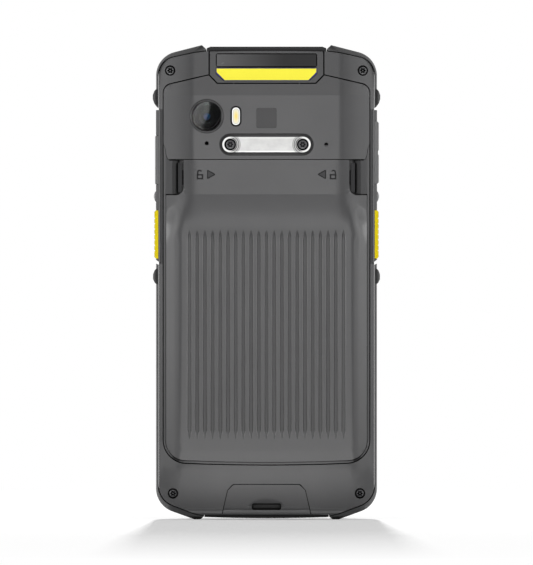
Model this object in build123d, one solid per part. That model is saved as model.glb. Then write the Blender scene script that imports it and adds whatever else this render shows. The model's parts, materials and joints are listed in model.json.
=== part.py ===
from build123d import *
import os
from math import asin, cos, degrees, hypot, radians, sin, sqrt, tan

# Handheld barcode data terminal, standing upright on its two lower corner guards.
# Millimetres. +Z runs up its length, -Y is the back with the camera and the battery pack,
# +Y is the screen, and +X is to the right when the back is looked at.
# A depth is given as a drop: how far a surface lies in front of the proudest back face.

# ---- overall size ----
height = 161.5
body_width = 75.2
depth = 15.4
half_width = body_width / 2
back_y = -depth / 2
front_y = depth / 2

# ---- layers through the thickness ----
split_y = -1.2            # rear housing meets the front frame
bay_floor_y = -0.3        # the battery pack lies against this face
bay_floor = 1.0
chassis_y = bay_floor_y + bay_floor + 0.1
chassis_plate = 1.8
display_y = chassis_y + chassis_plate
glass_thickness = 1.3
glass_y = front_y - 0.5   # the guards and the frame stand proud of the glass
frame_front_y = front_y - 0.35

# ---- gaps between pieces ----
seam = 0.35               # the open line round the battery bay and the camera cover
battery_gap = 0.15
land_gap = 0.45           # open lines above and below the finger lands
key_gap = 0.15
fit_gap = 0.05            # between pieces of one assembly that only lie together

# ---- widths, from the side in ----
guard_wall = 1.0
guard_seam = 0.3
strip_width = 1.3
bay_rim = 0.7
housing_half = half_width - guard_wall
window_half = housing_half - strip_width
bay_half = window_half - seam
battery_half = bay_half - bay_rim - battery_gap
rail_inner = window_half + 0.75

# ---- corners of the outline ----
corner_radius = 8.3
corner_rise = 4.7         # where the slanted bottom edge would meet the side
corner_fall = 4.0         # the same at the top
foot_inner = half_width - 15.1
foot_outer = half_width - 13.0
guard_end_low = half_width - 16.3
guard_end_high = half_width - 17.1
tip_high = half_width - 15.6
bottom_bow = 0.55
top_trim_height = height - 0.7
housing_bottom = 1.8
housing_top = height - 2.1
housing_corner = 7.2

# ---- lengths up the back ----
battery_bottom = 19.7
battery_top = height - 39.2
bulge_top = battery_top - 11.7
notch_bottom = battery_top - 12.0
notch_inner = battery_half - 6.0
notch_radius = 2.7
battery_corner = 6.5
cover_bottom = battery_top + 0.25
cover_top = height - 13.4
cover_corner = 3.0
cover_crease = cover_bottom + 21.65
land_top = cover_bottom + 5.0
bezel_half = guard_end_high - 0.84
bezel_shoulder = cover_top + 2.9
bezel_foot_half = bezel_half - 2.8
bezel_inset = 0.4         # the bezel's open line, towards the cover
top_tilt = 4.5
low_tilt = 0.8

# ---- side zones ----
guard_low_top = height - 74.5
guard_high_bottom = height - 22.0
guard_slant = 1.5

# ---- back surface ----
cover_drop = 0.75         # flat of the camera cover and of the pack's flange
low_drop = 0.5
cover_plateau = half_width - 13.4
low_plateau = half_width - 20.6
bulge_plateau = half_width - 9.2
section_reach = half_width + 1.9  # sections run past the sides and are trimmed by the outlines
cover_wall = 1.5
ramp_length = 9.6
ramp_corner = 12.0
ramp_plateau = half_width - 14.9
ramp_steps = (0.2, 1.9, 3.7, 4.9, 5.7, 6.5, 7.3, 8.3, 9.7)  # from the plateau outwards

# ---- battery pack ----
shell_wall = 1.4
shell_parting_y = back_y + 3.9
pack_under_y = bay_floor_y - 0.25
groove_pitch = 2.613
groove_count = 2 * int((bulge_plateau - 1.4) / groove_pitch) + 1
groove_width = 1.7
groove_floor = 0.8
groove_depth = 0.4
groove_bottom = battery_bottom + 7.8
groove_top = battery_top - 23.8
groove_fade = 2.9
tongue_offset = 15.0
tongue_width = 6.0
tongue_length = 1.45

# ---- latches ----
latch_height = 10.0
latch_plate = 1.45
latch_travel = 1.2
latch_outer = bay_half - 4.9
latch_top_drop = 1.75
latch_depth = 3.2

# ---- camera and flash ----
camera_x = 17.33 - half_width
camera_z = cover_bottom + 14.55
camera_ring_radius = 5.74
camera_window_radius = 4.93
flash_x = camera_x + 9.91
flash_width = 3.6
flash_height = 6.9

# ---- strap plate ----
strap_z = cover_bottom + 4.95
strap_pocket_length = 32.0
strap_pocket_height = 7.5
strap_plate_length = 30.0
strap_plate_height = 5.25
strap_screw_x = 12.3
screw_head_radius = 1.6

# ---- keys ----
left_key_z = battery_top
left_key_length = 16.6
rocker_z = battery_top + 2.55
rocker_length = 21.3
scan_key_z = height - 64.5
scan_key_length = 16.4
key_back_y = back_y + 3.55
key_front_y = key_back_y + 7.3
key_travel = 0.35
plunger_y = chassis_y + chassis_plate / 2 + 0.35
plunger_size = 1.9
switch_face = housing_half - 3.2
flex_outer = switch_face - 0.8

# ---- housing screws ----
screw_recess_radius = 1.75
screw_radius = 1.34
screw_head_height = 1.8
screw_x_high = half_width - 4.85
screw_z_high = height - 8.8
screw_x_low = half_width - 5.85
screw_z_low = 9.0
screw_hole_radius = 0.85
boss_half = 2.6
strap_plate_y = back_y + cover_drop - 0.25
strap_plate_thickness = 1.3
strap_screw_sink = 0.9
strap_step_radius = 3.2
strap_pocket_depth = 2.2
strap_slot_z = 4.53           # the slot at the lower end, for the other end of the strap
strap_slot_length = 10.0
strap_slot_height = 2.26
strap_slot_depth = 5.4
strap_scoop_radius = 90.0
strap_scoop_depth = 0.45
strap_scoop_z = -1.7

# ---- screen side and inner pieces ----
bay_end_wall = 0.8
earpiece_z = height - 9.2
front_camera_x = 12.0
front_camera_radius = 1.7
board_y = chassis_y - 1.4     # back face of the main board
board_thickness = 1.0
board_bottom = land_top + 0.6
cavity_half = housing_half - 2.4
cavity_margin = 4.5           # from the ends of the device to the cavity
connector_box = (-12.8, 12.8, bay_floor_y - 0.15, chassis_y - fit_gap,
                 battery_top - 7.8, battery_top - 3.2)
card_box = (-16.0, 12.0, bay_floor_y + 0.1, chassis_y - fit_gap,
            battery_bottom + 50.0, battery_bottom + 68.0)
engine_box = (-11.0, 11.0, back_y + 3.3, chassis_y + 1.6, height - 17.5, height - 5.0)
usb_y = chassis_y + 1.9
hollow_inner = 17.0           # rooms in the lower end, beside the strap insert
hollow_outer = screw_x_low - 2.9
sound_x = 13.5
sound_count = 3
sound_pitch = 3.8
sound_length = 3.0
sound_width = 1.1


def back_plane(y):
    """A sketch plane at depth y: x to the right, y up the device, facing the back."""
    return Plane(origin=(0, y, 0), x_dir=(1, 0, 0), z_dir=(0, -1, 0))


def slab(shape, y_from, y_to):
    """An outline drawn on the back, extruded between two depths."""
    low, high = sorted((y_from, y_to))
    return extrude(back_plane(high) * shape, high - low)


def end_edge(middle, right):
    """The edge across one end: a bow where its middle lies above or below its ends."""
    left = (-right[0], right[1])
    if abs(middle[1] - right[1]) < 0.02:
        return Line(left, right)
    return ThreePointArc(left, middle, right)


def both_sides(half_points):
    """A closed face from its right-hand points, listed from the bottom to the top.

    The first and the last point lie on the middle line.
    """
    right = half_points[1:-1]
    left = [(-x, z) for x, z in right]
    ends = [end_edge(*half_points[:2]), end_edge(half_points[-1], half_points[-2])]
    return Sketch() + make_face([*ends, Polyline(*right), Polyline(*left)])


def rounded(face, rounds):
    """Fillets the corners nearest the given right-hand points, on both sides."""
    for x, z, radius in rounds:
        corners = [v for v in face.vertices() if hypot(abs(v.X) - x, v.Y - z) < 0.05]
        face = fillet(corners, radius)
    return face


def block(x0, x1, y0, y1, z0, z1):
    """A box between two corners, in either order."""
    size = (abs(x1 - x0), abs(y1 - y0), abs(z1 - z0))
    centre = ((x0 + x1) / 2, (y0 + y1) / 2, (z0 + z1) / 2)
    return Pos(*centre) * Box(*size)


def rod_y(x, z, radius, y0, y1):
    """A round bar along the thickness."""
    low, high = sorted((y0, y1))
    return extrude(back_plane(high) * Pos(x, z) * Circle(radius), high - low)


def rod_x(y, z, radius, x0, x1):
    """A round bar across the width."""
    plane = Plane(origin=(min(x0, x1), y, z), x_dir=(0, 1, 0), z_dir=(1, 0, 0))
    return extrude(plane * Circle(radius), abs(x1 - x0))


def twin(part):
    """The same piece on the other side."""
    return mirror(part, Plane.YZ)


# ---- outlines, seen from the back ----


def overall_outline(inset=0.0):
    """Silhouette of the guards: tips at the top and feet at the bottom."""
    side = half_width - inset
    points = [
        (0, bottom_bow + inset),
        (guard_end_low, bottom_bow + 0.45 + inset),
        (foot_inner, inset),
        (foot_outer, inset),
        (side, corner_rise + inset * 0.6),
        (side, height - corner_fall - inset * 0.6),
        (tip_high, height - inset),
        (guard_end_high, height - 1.4 - inset),
        (0, top_trim_height - inset),
    ]
    low, high = points[4], points[5]
    return rounded(
        both_sides(points), [(*low, corner_radius - inset), (*high, corner_radius - inset)]
    )


def housing_outline(grow=0.0):
    """Edge of the rear housing, just inside the guards."""
    side = housing_half + grow
    points = [
        (0, housing_bottom - grow),
        (guard_end_low, housing_bottom - grow),
        (foot_inner, housing_bottom + 0.05 - grow),
        (foot_outer, housing_bottom + 0.45 - grow),
        (side, corner_rise + 2.1 - grow * 0.7),
        (side, height - corner_fall - 1.4 + grow * 0.7),
        (tip_high + 3.0, housing_top - 0.85 + grow),
        (guard_end_high, housing_top - 0.25 + grow),
        (0, housing_top + grow),
    ]
    low, high = points[4], points[5]
    return rounded(
        both_sides(points), [(*low, housing_corner + grow), (*high, housing_corner - 1 + grow)]
    )


def battery_outline(grow=0.0):
    """Edge of the battery pack, with the two notches that leave room for the fingers."""
    side = battery_half + grow
    points = [
        (0, battery_bottom - grow),
        (side, battery_bottom + 0.97 - grow),
        (side, notch_bottom + grow),
        (notch_inner + grow, notch_bottom + grow),
        (notch_inner + grow, battery_top + grow),
        (0, battery_top + grow),
    ]
    return rounded(
        both_sides(points),
        [(*points[1], battery_corner + grow), (*points[3], notch_radius - grow)],
    )


def bay_outline(grow=0.0):
    """Edge of the battery bay: the pack's edge plus the rim, up to the camera cover."""
    side = bay_half + grow
    points = [
        (0, battery_bottom - battery_gap - bay_rim - grow),
        (side, battery_bottom + 0.1 - grow),
        (side, land_top + grow),
        (0, land_top + grow),
    ]
    return rounded(both_sides(points), [(*points[1], battery_corner + 1.2 + grow)])


def cover_outline(grow=0.0):
    """Edge of the camera cover: its lower corners curl in above the finger lands."""
    side = bay_half + grow
    points = [
        (0, cover_bottom - grow),
        (bay_half - 1.5 + grow, cover_bottom - grow),
        (bay_half - 0.95 + grow, cover_bottom + 1.1 - grow),
        (bay_half - 0.7 + grow, cover_bottom + 3.2),
        (side, land_top + 0.2),
        (side, cover_top - 0.65 + grow),
        (bezel_half + grow * 0.2, bezel_shoulder + grow),
        (bezel_foot_half + grow * 0.2, cover_top + grow),
        (0, cover_top + grow),
    ]
    return rounded(both_sides(points), [(*points[5], cover_corner + grow)])


def bezel_outline(grow=0.0):
    """Edge of the six-sided bezel at the top."""
    points = [
        (0, cover_top - grow),
        (bezel_foot_half + grow * 0.4, cover_top - grow),
        (bezel_half + grow, bezel_shoulder - grow * 0.4),
        (bezel_half + grow, housing_top + 1.0),
        (0, housing_top + 1.0),
    ]
    return both_sides(points)


# ---- the shaped back ----


def bend(start, tilt, radius, tilt_end):
    """An arc of a back section, from one sideways tilt to the next, and its end."""
    middle = (tilt + tilt_end) / 2
    steps = [
        (start[0] + radius * (sin(t) - sin(tilt)), start[1] + radius * (cos(tilt) - cos(t)))
        for t in (middle, tilt_end)
    ]
    return ThreePointArc(start, *steps), steps[1]


def shoulder_section(drop, plateau, bends):
    """Cross-section of the body: a flat back, then shoulders that fall away in arcs."""
    point, tilt = (plateau, back_y + drop), 0.0
    right = [Line((0, back_y + drop), point)]
    for radius, degrees_end in bends:
        tilt_end = radians(degrees_end)
        arc, point = bend(point, tilt, radius, tilt_end)
        right.append(arc)
        tilt = tilt_end
    floor = (point[0], chassis_y)
    right += [Line(point, floor), Line(floor, (0, chassis_y))]
    return make_face(right + [mirror(edge, Plane.YZ) for edge in right])


def closing_tilt(plateau, bends, radius):
    """The tilt at which a last arc of this radius reaches past the side."""
    x, tilt = plateau, 0.0
    for step, degrees_end in bends:
        x += step * (sin(radians(degrees_end)) - sin(tilt))
        tilt = radians(degrees_end)
    return degrees(asin(sin(tilt) + (section_reach - x) / radius))


cover_bends = [(14.0, 9.0), (80.0, 14.0)]
cover_bends.append((80.0, closing_tilt(cover_plateau, cover_bends, 80.0)))
low_bends = [(150.0, 4.2), (24.0, 16.7)]
low_bends.append((60.0, closing_tilt(low_plateau, low_bends, 60.0)))


def arc_drop(x, plateau, bends):
    """How far a section with these bends has fallen at a distance x from the middle."""
    fallen, start, tilt = 0.0, plateau, 0.0
    for radius, degrees_end in bends:
        end = start + radius * (sin(radians(degrees_end)) - sin(tilt))
        here = min(max(x, start), end)
        now = asin(sin(tilt) + (here - start) / radius)
        fallen += radius * (cos(tilt) - cos(now))
        start, tilt = end, radians(degrees_end)
    return fallen


def cover_section(drop=cover_drop):
    return shoulder_section(drop, cover_plateau, cover_bends)


def low_section(drop=low_drop):
    return shoulder_section(drop, low_plateau, low_bends)


def at_height(z, section):
    return Plane.XY.offset(z) * section


def body_form():
    """The back as one form: lower housing, straight middle and tilted top."""
    low_z, blend_z = battery_bottom - 2.7, battery_bottom + 7.3
    low_end = extrude(
        at_height(low_z, low_section()),
        low_z + 2.0,
        dir=(0, sin(radians(low_tilt)), -cos(radians(low_tilt))),
    )
    blend = loft([at_height(low_z, low_section()), at_height(blend_z, cover_section())], ruled=True)
    middle = extrude(at_height(blend_z, cover_section()), cover_crease - blend_z)
    top_end = extrude(
        at_height(cover_crease, cover_section()),
        height + 2.0 - cover_crease,
        dir=(0, sin(radians(top_tilt)), cos(radians(top_tilt))),
    )
    return low_end + blend + middle + top_end


def bottom_roll():
    """What the back loses where it rolls off to the bottom edge."""
    flat_z, edge_z = housing_bottom + 2.4, housing_bottom - 1.0
    start = (back_y + low_drop + 0.55, flat_z)
    middle = (back_y + low_drop + 0.98, edge_z + 1.2)
    end = (back_y + low_drop + 2.3, edge_z)
    arc = ThreePointArc(start, middle, end)
    corner = (back_y - 1.0, edge_z)
    lines = [Line(end, corner), Line(corner, (corner[0], flat_z)), Line((corner[0], flat_z), start)]
    profile = make_face([arc] + lines)
    return extrude(Plane.YZ * profile, section_reach, both=True)


form = body_form() - bottom_roll()


def form_cut(extra):
    """The form moved forward by a wall, to hollow a shell under the same surface."""
    return Pos(0, extra, 0) * form


# ---- housing ----


def housing_window(grow):
    """The opening in the rear housing for the bay, the camera cover and the bezel."""
    return bay_outline(grow) + cover_outline(grow) + bezel_outline(fit_gap)


def rear_housing():
    body = (form & slab(housing_outline(), back_y, split_y)) - slab(
        housing_window(seam), back_y - 1, split_y
    )
    ledge_ring = bezel_outline(fit_gap) - bezel_outline(-bezel_inset - 1.0)
    ledge = (form_cut(1.0) & slab(ledge_ring, back_y, back_y + 3.2)) - slab(
        cover_outline(seam), back_y - 1, split_y
    )
    ledge &= slab(housing_outline(), back_y, split_y)
    body += ledge
    body -= slab(rail_zone(), back_y, split_y + 1)
    body -= rail_step()
    body -= insert_pocket()
    body -= tongue_pockets()
    body -= lower_hollow()
    body -= screw_holes()
    for aperture in key_apertures():
        body -= aperture
    return body


def lower_hollow():
    """Rooms for the loudspeaker and the vibration motor, beside the strap insert."""
    z_low, z_high = housing_bottom + 2.2, battery_bottom - 3.6
    room = block(hollow_inner, hollow_outer, back_y + 4.0, split_y + 1, z_low, z_high)
    return room + twin(room)


def rail_zone():
    """Where the side rails replace the edge of the rear housing."""
    right = Pos((rail_inner + section_reach) / 2, (guard_low_top + guard_high_bottom) / 2)
    zone = right * Rectangle(section_reach - rail_inner, guard_high_bottom - guard_low_top)
    return zone + mirror(zone, Plane.YZ)


def rail_step():
    """Flattens the narrow edge of the housing that runs beside each rail."""
    inner, outer = window_half - 1, rail_inner + 1
    wedge = make_face(Polyline(
        (inner, back_y), (inner, back_y + 2.9), (outer, back_y + 3.18), (outer, back_y), close=True))
    step = extrude(Plane.XY.offset(guard_low_top) * wedge, guard_high_bottom - guard_low_top)
    return step + twin(step)


def front_frame():
    """The structural frame: side walls, and the lip round the glass."""
    outline = housing_outline()
    cavity = RectangleRounded(2 * cavity_half, height - 2 * cavity_margin, 4.0)
    body = slab(outline, split_y, frame_front_y)
    body -= slab(Pos(0, height / 2) * cavity, split_y - 1, glass_y - glass_thickness - 0.6)
    body -= slab(glass_outline(0.12), glass_y - glass_thickness - 0.05, front_y + 1)
    body -= slab(display_outline(0.2), display_y - 0.1, front_y + 1)
    body -= slab(bay_outline(fit_gap), split_y - 1, bay_floor_y + bay_floor + fit_gap)
    body -= rod_y(front_camera_x, earpiece_z, front_camera_radius + 0.2, display_y, front_y)
    for x, z in housing_screw_places():
        body += block(x - boss_half, x + boss_half, split_y, chassis_y - fit_gap,
                      z - boss_half, z + boss_half) & slab(outline, split_y, chassis_y)
        body -= rod_y(x, z, screw_hole_radius, split_y - 1, chassis_y)
    for hole in end_openings():
        body -= hole
    for x, slots in ((sound_x, sound_count), (-sound_x, 1)):
        half, middle = (slots - 1) / 2 * sound_pitch + sound_length / 2 + 0.2, sound_width / 2 + 0.2
        body -= block(x - half, x + half, usb_y - middle, usb_y + middle, 0, cavity_margin + 1)
    for aperture in key_apertures():
        body -= aperture
    return body


def glass_outline(grow=0.0):
    width, length = 2 * (housing_half - 1.5 + grow), height - 13.0 + 2 * grow
    return Pos(0, height / 2) * RectangleRounded(width, length, 6.0 + grow)


def display_outline(grow=0.0):
    width, length = 2 * (housing_half - 3.4 + grow), height - 30.0 + 2 * grow
    return Pos(0, height / 2) * Rectangle(width, length)


def outer_form():
    """Body of the guards: straight sides, a tapered back edge and a bevelled front."""
    taper_y = back_y + 6.7
    lip_y = back_y + 2.9
    sections = [
        back_plane(front_y) * overall_outline(0.4),
        back_plane(front_y - 1.0) * overall_outline(),
        back_plane(taper_y) * overall_outline(),
        back_plane(lip_y) * housing_outline(guard_seam + 0.15),
    ]
    return loft([s.face() for s in sections], ruled=True)


def side_bump(z0, z1, apex0, apex1, proud, y0, y1):
    """A faceted lump on a guard that takes knocks for the keys beside it."""
    root, tip = half_width - 0.6, half_width + proud
    outline = [(root, z0), (half_width, z0), (tip, apex0), (tip, apex1), (half_width, z1), (root, z1)]
    lump = slab(make_face(Polyline(*outline, close=True)), y0, y1)
    edges = [e for e in lump.edges() if abs(e.center().X - tip) < 0.01 and e.length > 1.5]
    return chamfer(edges, proud * 0.7)


def guard_ring():
    return outer_form() - slab(housing_outline(guard_seam), back_y - 1, front_y + 1)


def lower_guard(ring):
    zone = slab(make_face(Polyline(
        (guard_end_low, -5), (half_width + 3, -5), (half_width + 3, guard_low_top + guard_slant),
        (window_half - 1, guard_low_top - guard_slant), (guard_end_low, guard_low_top - guard_slant),
        close=True)), back_y - 1, front_y + 1)
    bump = side_bump(guard_low_top - 6.8, guard_low_top - 1.7, guard_low_top - 5.9,
                     guard_low_top - 2.9, 1.0, back_y + 4.2, front_y - 2.2)
    return (ring & zone) + bump


def upper_guard(ring):
    high = guard_high_bottom + fit_gap
    zone = slab(make_face(Polyline(
        (guard_end_high, height + 5), (half_width + 3, height + 5),
        (half_width + 3, high + 2.2 * guard_slant), (window_half, high - 0.3 * guard_slant),
        (guard_end_high, high), close=True)), back_y - 1, front_y + 1)
    bump = side_bump(
        height - 20.7, height - 15.1, height - 19.2, height - 16.3, 1.1, back_y + 4.2, front_y - 2.2
    )
    return (ring & zone) + bump


def side_rail():
    """Glossier band between the guards, with the key openings. Right-hand side."""
    shelf_y = back_y + 2.75
    section = make_face(Polyline(
        (rail_inner + fit_gap, shelf_y), (rail_inner + 0.3, shelf_y), (half_width, shelf_y + 1.75),
        (half_width, front_y - 1.6), (half_width - 0.7, front_y - 0.5),
        (housing_half + fit_gap, front_y - 0.5), (housing_half + fit_gap, split_y - fit_gap),
        (rail_inner + fit_gap, split_y - fit_gap), close=True))
    low = guard_low_top + 0.2
    high = guard_high_bottom - 0.2
    rail = extrude(Plane.XY.offset(low) * section, high - low)
    zone = slab(make_face(Polyline(
        (window_half, low - 0.3 * guard_slant), (half_width + 3, low + 2.2 * guard_slant),
        (half_width + 3, high + 2.2 * guard_slant), (window_half, high - 0.3 * guard_slant),
        close=True)), back_y - 1, front_y + 1)
    bump_z = scan_key_z + 12.9
    bump = side_bump(bump_z - 1.8, bump_z + 1.85, bump_z - 0.9, bump_z + 1.0, 0.7,
                     back_y + 4.4, front_y - 2.4)
    return (rail & zone) + bump


# ---- keys ----


def key_zone(side, z, length, grow, inner=0.0):
    """Block of the opening that a side key slides in."""
    z0, z1 = z - length / 2 - grow, z + length / 2 + grow
    return block(
        side * (window_half + inner), side * (half_width + 3),
        key_back_y - grow, key_front_y + grow, z0, z1,
    )


def key_places():
    """Side, middle height and length of each key."""
    return [
        (-1, left_key_z, left_key_length),
        (1, rocker_z, rocker_length),
        (-1, scan_key_z, scan_key_length),
        (1, scan_key_z, scan_key_length),
    ]


def plunger_heights(side, z, length):
    """A rocker pushes two switches and the other keys one."""
    return [z - length * 0.3, z + length * 0.3] if length == rocker_length else [z]


def plunger(z, x0, x1, grow=0.0):
    """The bar that passes through the frame's wall, from a key to its switch."""
    half = plunger_size / 2 + grow
    return block(x0, x1, plunger_y - half, plunger_y + half, z - half, z + half)


def key_apertures():
    cuts = []
    for side, z, length in key_places():
        cuts.append(key_zone(side, z, length, key_gap))
        for height_z in plunger_heights(side, z, length):
            cuts.append(plunger(height_z, side * (switch_face - 1), side * half_width, 0.35))
    return cuts


def key_body(side, z, length, proud):
    """A key's cap: bevelled towards the back and the front, with its plungers."""
    inner = window_half + key_travel + 0.1
    tip = half_width + proud
    bevel = 1.5
    section = make_face(Polyline(
        (inner, key_back_y), (tip - bevel, key_back_y), (tip - 0.25, key_back_y + bevel),
        (tip, key_back_y + 2 * bevel), (tip, key_front_y - bevel), (tip - bevel / 2, key_front_y),
        (inner, key_front_y), close=True))
    cap = extrude(Plane.XY.offset(z - length / 2) * section, length)
    ends = [e for e in cap.edges() if abs(e.center().X - tip) < 0.01 and abs(e.center().Z - z) > length * 0.49]
    cap = chamfer(ends, proud * 0.9)
    for height_z in plunger_heights(side, z, length):
        reach = switch_face + key_travel + 0.08
        cap += plunger(height_z, reach, inner + 0.1)
    return cap if side > 0 else twin(cap)


def scan_key(side):
    """Trigger key with grip teeth across its face."""
    pitch, teeth = 1.83, 7
    key = key_body(side, scan_key_z, scan_key_length, 0.6)
    tip = half_width + 0.6
    tooth = make_face(Polyline((tip + 0.3, -0.55), (tip - 0.35, 0), (tip + 0.3, 0.55), close=True))
    plane = Plane(origin=(0, key_front_y + 1, 0), x_dir=(1, 0, 0), z_dir=(0, -1, 0))
    for n in range(teeth):
        z = scan_key_z + (n - (teeth - 1) / 2) * pitch
        groove = extrude(plane * Pos(0, z) * tooth, key_front_y - key_back_y + 2)
        key -= groove if side > 0 else twin(groove)
    return key


def rocker():
    """Two-way key with a hump at each end."""
    key = key_body(1, rocker_z, rocker_length, 0.68)
    tip = half_width + 0.68
    dip = Plane(origin=(tip + 1.3, key_front_y + 1, rocker_z), x_dir=(1, 0, 0), z_dir=(0, -1, 0))
    key -= extrude(dip * RectangleRounded(3.2, 2.0, 0.6), key_front_y - key_back_y + 2)
    return key


# ---- battery bay and camera cover ----


def battery_bay():
    """Tray that the pack drops into: floor, rim and the two finger lands."""
    floor_y = bay_floor_y + bay_floor
    body = form & slab(bay_outline(), back_y, floor_y)
    latch_room = Pos(0, (notch_bottom + cover_bottom) / 2) * Rectangle(
        2 * (latch_outer + 0.15), cover_bottom - notch_bottom
    )
    land_end = Pos(0, notch_bottom) * Rectangle(2 * (battery_half + battery_gap), 2 * land_gap)
    pocket = battery_outline(battery_gap) + latch_room + land_end
    body -= slab(pocket, back_y - 1, bay_floor_y)
    over = form & slab(cover_outline(0.12), back_y - 1, chassis_y)
    body -= over - form_cut(cover_wall + fit_gap)
    body -= scoops()
    above = cover_bottom + bay_end_wall
    body -= block(-latch_outer, latch_outer, back_y - 1, bay_floor_y, above, land_top + 1)
    land_foot = bay_half - 1.9
    body -= block(-land_foot, land_foot, back_y - 1, back_y + 3.6, cover_bottom - land_gap, above)
    body -= tongue_pockets()
    body -= grown_block(connector_box, 0.1)
    body -= grown_block(card_box, 0.1)
    return body


def scoops():
    """Cuts that flatten the finger lands and slope them down towards the latches."""
    start, end = bay_half - 3.1, latch_outer + 0.15
    slope = make_face(Polyline(
        (bay_half, back_y), (bay_half, back_y + 2.72), (start, back_y + 2.24), (end, back_y + 2.85),
        (end - 1, back_y + 2.85), (end - 1, back_y), close=True))
    cut = extrude(Plane.XY.offset(notch_bottom - 1) * slope, cover_bottom - notch_bottom + 1)
    return cut + twin(cut)


def tongue_box(side, grow, depth_grow):
    x = side * tongue_offset
    half = tongue_width / 2 + grow
    z_low = battery_bottom - tongue_length - grow
    return block(
        x - half, x + half, back_y + 1.5 - grow, back_y + 2.5 + depth_grow,
        z_low, battery_bottom + 0.6,
    )


def tongue_pockets():
    return tongue_box(1, 0.2, 0.8) + tongue_box(-1, 0.2, 0.8)


def camera_cover():
    plate = form & slab(cover_outline(), back_y, split_y)
    cover = plate - form_cut(cover_wall)
    seat = camera_ring_radius + 1.2
    lens_seat = block(camera_x - seat, camera_x + seat, back_y + cover_wall, back_y + 4.0,
                      camera_z - seat, camera_z + seat)
    seat_x, seat_z = strap_pocket_length / 2 + 1.5, strap_pocket_height / 2 + 0.35
    strap_seat = block(-seat_x, seat_x, back_y + cover_wall, back_y + 4.4,
                       strap_z - seat_z, strap_z + seat_z)
    cover += strap_seat & plate
    cover += lens_seat & plate
    cover -= rod_y(camera_x, camera_z, camera_ring_radius + fit_gap, back_y - 1, back_y + 5)
    cover -= slab(
        Pos(flash_x, camera_z) * Rot(0, 0, 90) * SlotOverall(flash_height + 0.1, flash_width + 0.1),
        back_y - 1, back_y + 5,
    )
    cover -= slab(
        Pos(0, strap_z) * SlotOverall(strap_pocket_length, strap_pocket_height),
        back_y - 1, back_y + cover_drop + strap_pocket_depth,
    )
    for x, z in ((-20.3, strap_z + 0.4), (20.3, strap_z)):
        cover -= rod_y(x, z, 0.68, back_y - 1, back_y + 5)
    mark = Pos(0, camera_z - 0.6) * RectangleRounded(7.0, 6.8, 1.1)
    cover -= slab(mark, back_y, back_y + cover_drop + 0.15)
    for side in (-1, 1):
        cover -= rod_y(side * strap_screw_x, strap_z, screw_hole_radius, back_y, back_y + 6)
    return cover


def strap_plate():
    """Bright metal bar that a hand strap loops round, on two screw feet."""
    top, foot = strap_plate_y, strap_plate_y + strap_screw_sink
    floor = back_y + cover_drop + strap_pocket_depth
    outline = Pos(0, strap_z) * SlotOverall(strap_plate_length, strap_plate_height)
    bar = slab(outline, top, top + strap_plate_thickness)
    foot_half = strap_plate_height / 2 - 0.4
    for side in (-1, 1):
        x = side * strap_screw_x
        bar += block(x - foot_half, x + foot_half, top + 1.0, floor, strap_z - foot_half, strap_z + foot_half)
        bar -= rod_y(x, strap_z, strap_step_radius, top - 1, top + 0.25)
        bar -= rod_y(x, strap_z, screw_head_radius + 0.4, top - 1, foot)
        bar -= rod_y(x, strap_z, screw_hole_radius, top - 1, floor + 1)
    return bar


def strap_plate_screws():
    heads = [
        screw(side * strap_screw_x, strap_z, strap_plate_y + strap_screw_sink - 0.8,
              screw_head_radius, 0.8, 2.6)
        for side in (-1, 1)
    ]
    return Compound(children=[h.solid() for h in heads])


def screw(x, z, head_y, head_radius, head_height, shank_length):
    """A pan-head screw driven from the back."""
    head = rod_y(x, z, head_radius, head_y, head_y + head_height)
    socket_radius, socket_depth = head_radius * 0.6, head_height * 0.6
    socket = slab(Pos(x, z) * RegularPolygon(socket_radius, 6), head_y - 0.5, head_y + socket_depth)
    under = head_y + head_height
    shank = rod_y(x, z, screw_hole_radius - fit_gap, under, under + shank_length)
    return head - socket + shank


def housing_screws():
    screws = [screw(x, z, screw_seat(z) - screw_head_height, screw_radius, screw_head_height, 3.0)
              for x, z in housing_screw_places()]
    return Compound(children=[s.solid() for s in screws])


def housing_screw_places():
    return [(s * x, z) for s in (-1, 1) for x, z in
            ((screw_x_high, screw_z_high), (screw_x_low, screw_z_low))]


def screw_seat(z):
    """Depth of a housing screw's seat, under the back surface there."""
    return back_y + (5.0 if z > height / 2 else 4.2)


def screw_holes():
    cut = Part()
    for x, z in housing_screw_places():
        cut += rod_y(x, z, screw_recess_radius, back_y - 1, screw_seat(z))
        cut += rod_y(x, z, screw_hole_radius, back_y, split_y + 1)
    return cut


# ---- strap slot insert at the bottom ----


def insert_outline(grow=0.0):
    points = [
        (0, housing_bottom - 0.9),
        (15.2 + grow, housing_bottom - 0.9),
        (13.1 + grow, 10.1),
        (11.2 + grow, 12.0 + grow),
        (0, 12.0 + grow),
    ]
    return rounded(both_sides(points), [(*points[3], 1.2)])


def insert_pocket():
    return slab(insert_outline(0.25), back_y - 1, back_y + 3.4) + strap_slot(0.1)


def strap_slot(grow=0.0):
    length, width = strap_slot_length + 2 * grow, strap_slot_height + 2 * grow
    outline = Pos(0, strap_slot_z) * RectangleRounded(length, width, 0.8 + grow)
    return slab(outline, back_y - 1, back_y + strap_slot_depth)




def strap_insert():
    body = form & slab(insert_outline(), back_y, back_y + 3.35)
    body &= slab(housing_outline(), back_y, split_y)
    surface_y = back_y + low_drop + (battery_bottom - 2.7 - strap_slot_z) * tan(radians(low_tilt))
    scoop_y = surface_y + strap_scoop_depth - strap_scoop_radius
    body -= Pos(0, scoop_y, strap_scoop_z) * Sphere(strap_scoop_radius)
    return body - strap_slot()


# ---- top bezel and the scanner window ----


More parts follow.
